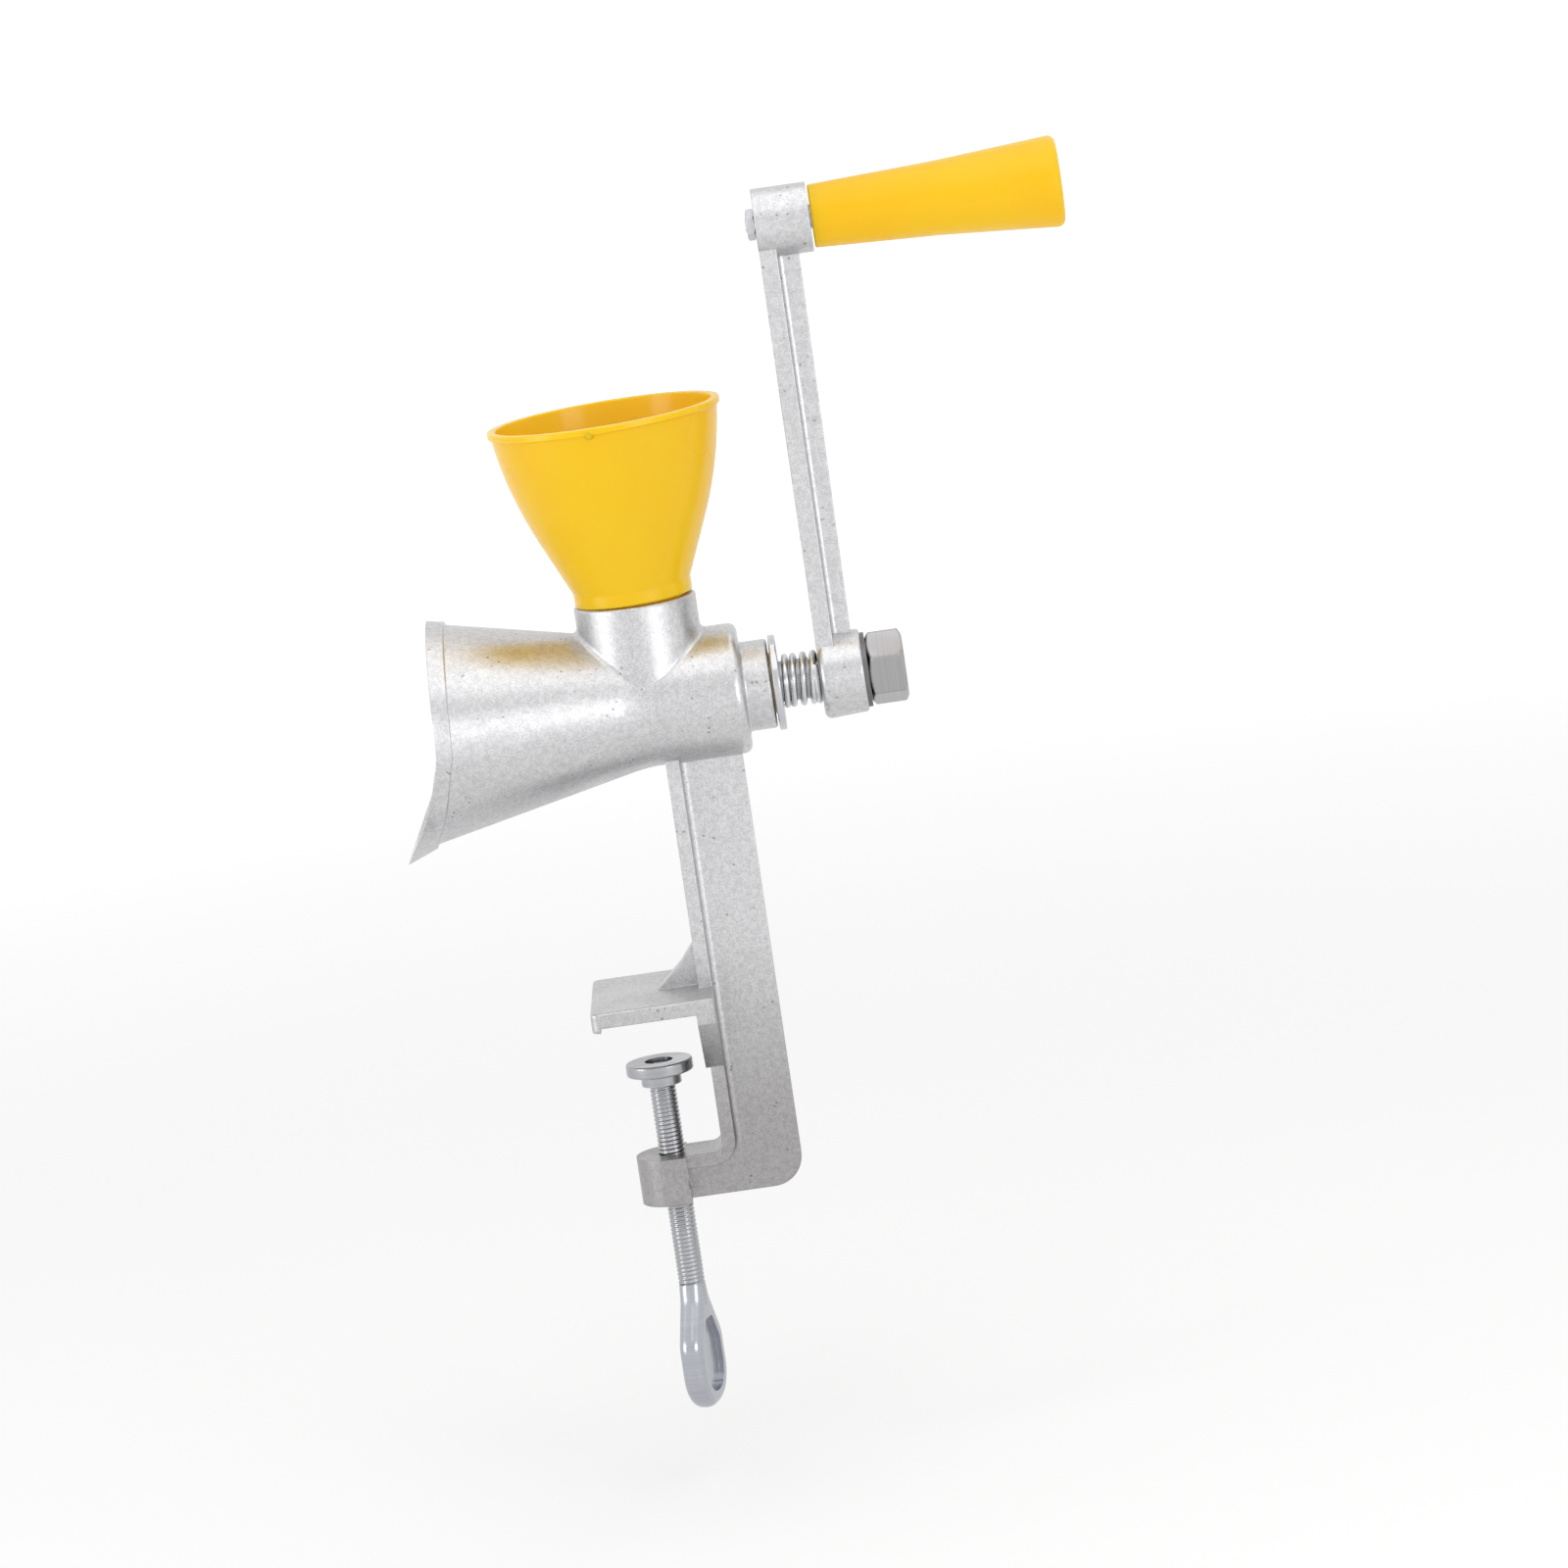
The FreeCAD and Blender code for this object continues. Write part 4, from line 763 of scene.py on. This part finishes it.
@dataclass
class Clamp(Assembly):
    """The clamp screw with its swivel pad and wing."""

    slots: dict[str, str] = field(default_factory=lambda: {
        "clamp_pad": "screw_zinc", "clamp_wing": "wing_zinc"})
    foot_z: float = -92.2 * MM
    top_z: float = -24.05 * MM
    crest_radius: float = 3.95 * MM
    root_radius: float = 3.68 * MM
    pitch: float = 1.25 * MM
    pin_radius: float = 2.5 * MM
    rivet_radius: float = 3.2 * MM
    rivet_under_z: float = -19.5 * MM
    rivet_top_z: float = -18.0 * MM
    rivet_round: float = 1.0 * MM
    pin_sunk: float = 0.2 * MM
    pin_sides: int = 36
    rivet_steps: int = 6
    thread_points: int = 37
    rows_a_pitch: int = 10
    spare_rows: float = 2.0
    end_width: float = 0.2
    flank: tuple = (0.12, 0.88)
    smooth_angle: float = 28.0

    def build_screw(self) -> bpy.types.Object:
        """The clamp screw with its right-handed thread, the pin and its riveted head.

        Returns:
            The finished screw.
        """
        shape = Shape("threaded_clamp_screw", {
            "Foot": self.foot_z, "Top": self.top_z, "Crest": self.crest_radius,
            "Root": self.root_radius, "Pitch": self.pitch}, self.finishes.by_slot["screw_zinc"])
        tree = shape.tree
        rows = round((self.top_z - self.foot_z) / self.pitch * self.rows_a_pitch)
        grid = tree.add("GeometryNodeMeshGrid", {
            "Size X": 1.0, "Size Y": 1.0, "Vertices X": self.thread_points, "Vertices Y": rows})
        spot = tree.add("ShaderNodeSeparateXYZ", {0: tree.add("GeometryNodeInputPosition")
                                                  .outputs[0]})
        turn = tree.math("ADD", spot.outputs[0], 0.5)
        angle = tree.math("MULTIPLY", turn, math.tau)
        length = tree.math("SUBTRACT", shape.value("Top"), shape.value("Foot"))
        raised = tree.math("MULTIPLY_ADD", tree.math("ADD", spot.outputs[1], 0.5),
                           tree.math("MULTIPLY", length, 1.0 + 2 * self.spare_rows / rows),
                           tree.math("MULTIPLY", length, -self.spare_rows / rows))
        along = tree.math("MINIMUM", tree.math("MAXIMUM", raised, 0.0), length)
        wave = tree.math("SUBTRACT", tree.math("DIVIDE", along, shape.value("Pitch")), turn)
        ridge = tree.math("MULTIPLY", tree.math("PINGPONG", wave, 0.5), 2.0)
        ridge = tree.ramp(ridge, *self.flank)
        depth = tree.math("SUBTRACT", shape.value("Crest"), shape.value("Root"))
        radius = tree.math("MULTIPLY_ADD", ridge, depth, shape.value("Root"))
        beyond = tree.math("COMPARE", tree.math("ABSOLUTE", spot.outputs[1]), 0.5,
                           self.end_width / rows)
        radius = tree.math("MULTIPLY", radius, tree.math("SUBTRACT", 1.0, beyond))
        place = tree.add("ShaderNodeCombineXYZ", {
            0: tree.math("MULTIPLY", radius, tree.math("COSINE", angle)),
            1: tree.math("MULTIPLY", radius, tree.math("SINE", angle)),
            2: tree.math("ADD", along, shape.value("Foot"))})
        thread = tree.add("GeometryNodeSetPosition", {"Geometry": grid.outputs[0],
                                                      "Position": place.outputs[0]})
        rod = tree.add("GeometryNodeMergeByDistance", {"Geometry": thread.outputs[0],
                                                       "Distance": MERGE})
        both = tree.add("GeometryNodeJoinGeometry", {0: rod.outputs[0]})
        self.add_pin(tree, both)
        screw = shape.finish(both.outputs[0], "screw", "zinc_steel", self.smooth_angle)
        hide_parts("clamp_screw")
        return screw

    def add_pin(self, tree: Tree, both: Node) -> None:
        """Join the pin and the riveted head, one turned outline, to the thread.

        Args:
            tree: The screw's tree.
            both: The node that joins its geometry.
        """
        pin_foot_z = self.top_z - self.pin_sunk
        outline = [(0.0, pin_foot_z), (self.pin_radius, pin_foot_z),
                   (self.pin_radius, self.rivet_under_z), (self.rivet_radius, self.rivet_under_z)]
        centre = (self.rivet_radius - self.rivet_round, self.rivet_top_z - self.rivet_round)
        for step in range(self.rivet_steps + 1):
            bend = step / self.rivet_steps * math.pi / 2
            outline.append((centre[0] + self.rivet_round * math.cos(bend),
                            centre[1] + self.rivet_round * math.sin(bend)))
        outline.append((0.0, self.rivet_top_z))
        bands = tree.add("GeometryNodeJoinGeometry")
        for (low_radius, low_z), (high_radius, high_z) in zip(outline, outline[1:]):
            band = tree.add("GeometryNodeMeshCone", {
                "Vertices": self.pin_sides, "Radius Top": high_radius,
                "Radius Bottom": low_radius, "Depth": high_z - low_z}, fill_type="NONE")
            laid = tree.add("GeometryNodeTransform", {"Geometry": band.outputs[0],
                                                      "Translation": (0.0, 0.0, low_z)})
            tree.link(laid.outputs[0], bands.inputs[0])
        sealed = tree.add("GeometryNodeMergeByDistance", {"Geometry": bands.outputs[0],
                                                          "Distance": MERGE})
        tree.link(sealed.outputs[0], both.inputs[0])


# ---------------------------------------------------------------------------------------------
# Studio
# ---------------------------------------------------------------------------------------------

@dataclass(frozen=True)
class SoftBox:
    """A soft lamp that faces the barrel: its size in metres and its power in watts."""

    name: str
    place: tuple
    size: tuple
    power: float
    aim: tuple = (20.0 * MM, 0.0, 90.0 * MM)

    def build(self) -> bpy.types.Object:
        """Hang the lamp.

        Returns:
            The lamp.
        """
        data = bpy.data.lights.new(self.name, "AREA")
        data.shape = "RECTANGLE"
        data.size, data.size_y = self.size
        data.energy = self.power
        lamp = bpy.data.objects.new(self.name, data)
        bpy.context.scene.collection.objects.link(lamp)
        lamp.location = self.place
        towards = Vector(self.aim) - Vector(self.place)
        lamp.rotation_euler = towards.to_track_quat("-Z", "Y").to_euler()
        return lamp


@dataclass
class Studio:
    """The floor, the soft light and the camera."""

    eye: tuple = (0.0735, -1.9715, 0.3950)
    pitch: float = 9.651
    turn: float = -0.725
    roll: float = 8.314
    focal_pixels: float = 6940.0
    image_pixels: float = 1600.0
    sensor_mm: float = 36.0
    floor_z: float = -0.1450
    floor_half: float = 40.0
    glow_near: float = 0.14
    glow_far: float = 0.46
    glow_from: float = 0.35
    glow_to: float = 2.2
    floor_colour: tuple = (0.90, 0.90, 0.90)
    floor_roughness: float = 0.9
    soft_world: float = 0.66
    boxes: tuple = (SoftBox("left_box", (-1.37, -0.62, 0.24), (0.60, 0.60), 4.8),
                    SoftBox("right_box", (0.88, -1.22, 0.22), (0.62, 0.50), 3.4),
                    SoftBox("top_box", (0.15, -0.30, 1.40), (1.80, 1.80), 7.0))

    @staticmethod
    def seen(tree: Tree) -> Socket:
        """1 for rays of the camera, of gloss and through glass, and 0 for the soft light.

        Args:
            tree: The tree that the Light Path node is added to.

        Returns:
            The value.
        """
        path = tree.add("ShaderNodeLightPath")
        seen = tree.math("MAXIMUM", path.outputs["Is Camera Ray"], path.outputs["Is Glossy Ray"])
        return tree.math("MAXIMUM", seen, path.outputs["Is Transmission Ray"])

    def build_floor(self) -> bpy.types.Object:
        """A wide pale floor just under the object, whose glow rises away from it.

        Near the object the glow is low, so that its soft shadow shows.

        Returns:
            The floor.
        """
        half = self.floor_half
        mesh = bpy.data.meshes.new("floor")
        mesh.from_pydata([(-half, -half, self.floor_z), (half, -half, self.floor_z),
                          (half, half, self.floor_z), (-half, half, self.floor_z)],
                         [], [(0, 1, 2, 3)])
        floor = bpy.data.objects.new("floor", mesh)
        bpy.context.scene.collection.objects.link(floor)
        material = bpy.data.materials.new("pale_floor")
        material.use_nodes = True
        tree = Tree(material.node_tree)
        shader = material.node_tree.nodes["Principled BSDF"]
        shader.inputs["Base Color"].default_value = (*self.floor_colour, 1.0)
        shader.inputs["Roughness"].default_value = self.floor_roughness
        shader.inputs["Emission Color"].default_value = (1.0, 1.0, 1.0, 1.0)
        where = tree.add("ShaderNodeTexCoord").outputs["Object"]
        away = tree.add("ShaderNodeVectorMath", {0: where, 1: (1.0, 1.0, 0.0)},
                        operation="MULTIPLY")
        away = tree.add("ShaderNodeVectorMath", {0: away.outputs[0]}, operation="LENGTH")
        glow = tree.ramp(away.outputs["Value"], self.glow_from, self.glow_to, self.glow_near,
                         self.glow_far)
        tree.link(tree.math("MULTIPLY", glow, self.seen(tree)),
                  shader.inputs["Emission Strength"])
        mesh.materials.append(material)
        return floor

    def build_world(self) -> None:
        """A white surround for camera, gloss and glass, and a plain pale one for soft light."""
        world = bpy.data.worlds.new("studio")
        world.use_nodes = True
        bpy.context.scene.world = world
        tree = Tree(world.node_tree)
        back = world.node_tree.nodes["Background"]
        strength = tree.ramp(self.seen(tree), 0.0, 1.0, self.soft_world, 1.0)
        back.inputs["Color"].default_value = (1.0, 1.0, 1.0, 1.0)
        tree.link(strength, back.inputs["Strength"])

    def build_camera(self) -> bpy.types.Object:
        """The camera, turned, pitched and rolled about its own line of sight.

        Returns:
            The camera.
        """
        turn, pitch, roll = (math.radians(v) for v in (self.turn, self.pitch, self.roll))
        view = Vector((math.sin(turn) * math.cos(pitch), math.cos(turn) * math.cos(pitch),
                       -math.sin(pitch)))
        right = Vector((math.cos(turn), -math.sin(turn), 0.0))
        up = right.cross(view)
        rolled_right = right * math.cos(roll) - up * math.sin(roll)
        rolled_up = right * math.sin(roll) + up * math.cos(roll)
        axes = Matrix((rolled_right, rolled_up, -view)).transposed()
        data = bpy.data.cameras.new("camera")
        data.sensor_width = self.sensor_mm
        data.sensor_fit = "HORIZONTAL"
        data.lens = self.focal_pixels / self.image_pixels * data.sensor_width
        camera = bpy.data.objects.new("camera", data)
        bpy.context.scene.collection.objects.link(camera)
        camera.matrix_world = Matrix.Translation(Vector(self.eye)) @ axes.to_4x4()
        bpy.context.scene.camera = camera
        return camera

    def build(self) -> None:
        """Build the whole studio."""
        bpy.context.scene.view_settings.view_transform = "Standard"
        self.build_floor()
        self.build_world()
        for box in self.boxes:
            box.build()
        self.build_camera()


def main() -> None:
    """Build every sub-assembly in order and the studio round them."""
    logging.basicConfig(level=logging.INFO, format="%(name)s: %(message)s")
    finishes = Finishes(Effects())
    funnel, drive, clamp = Funnel(finishes), Drive(finishes), Clamp(finishes)
    for assembly in (Mill(finishes), funnel, drive, Crank(finishes), clamp):
        for node in assembly.dress_nodes():
            LOG.info("%s dressed", node)
    for piece in (funnel.build_nub(), drive.build_spring(), clamp.build_screw()):
        LOG.info("%s built", piece.name)
    Studio().build()


if __name__ == "__main__":
    main()
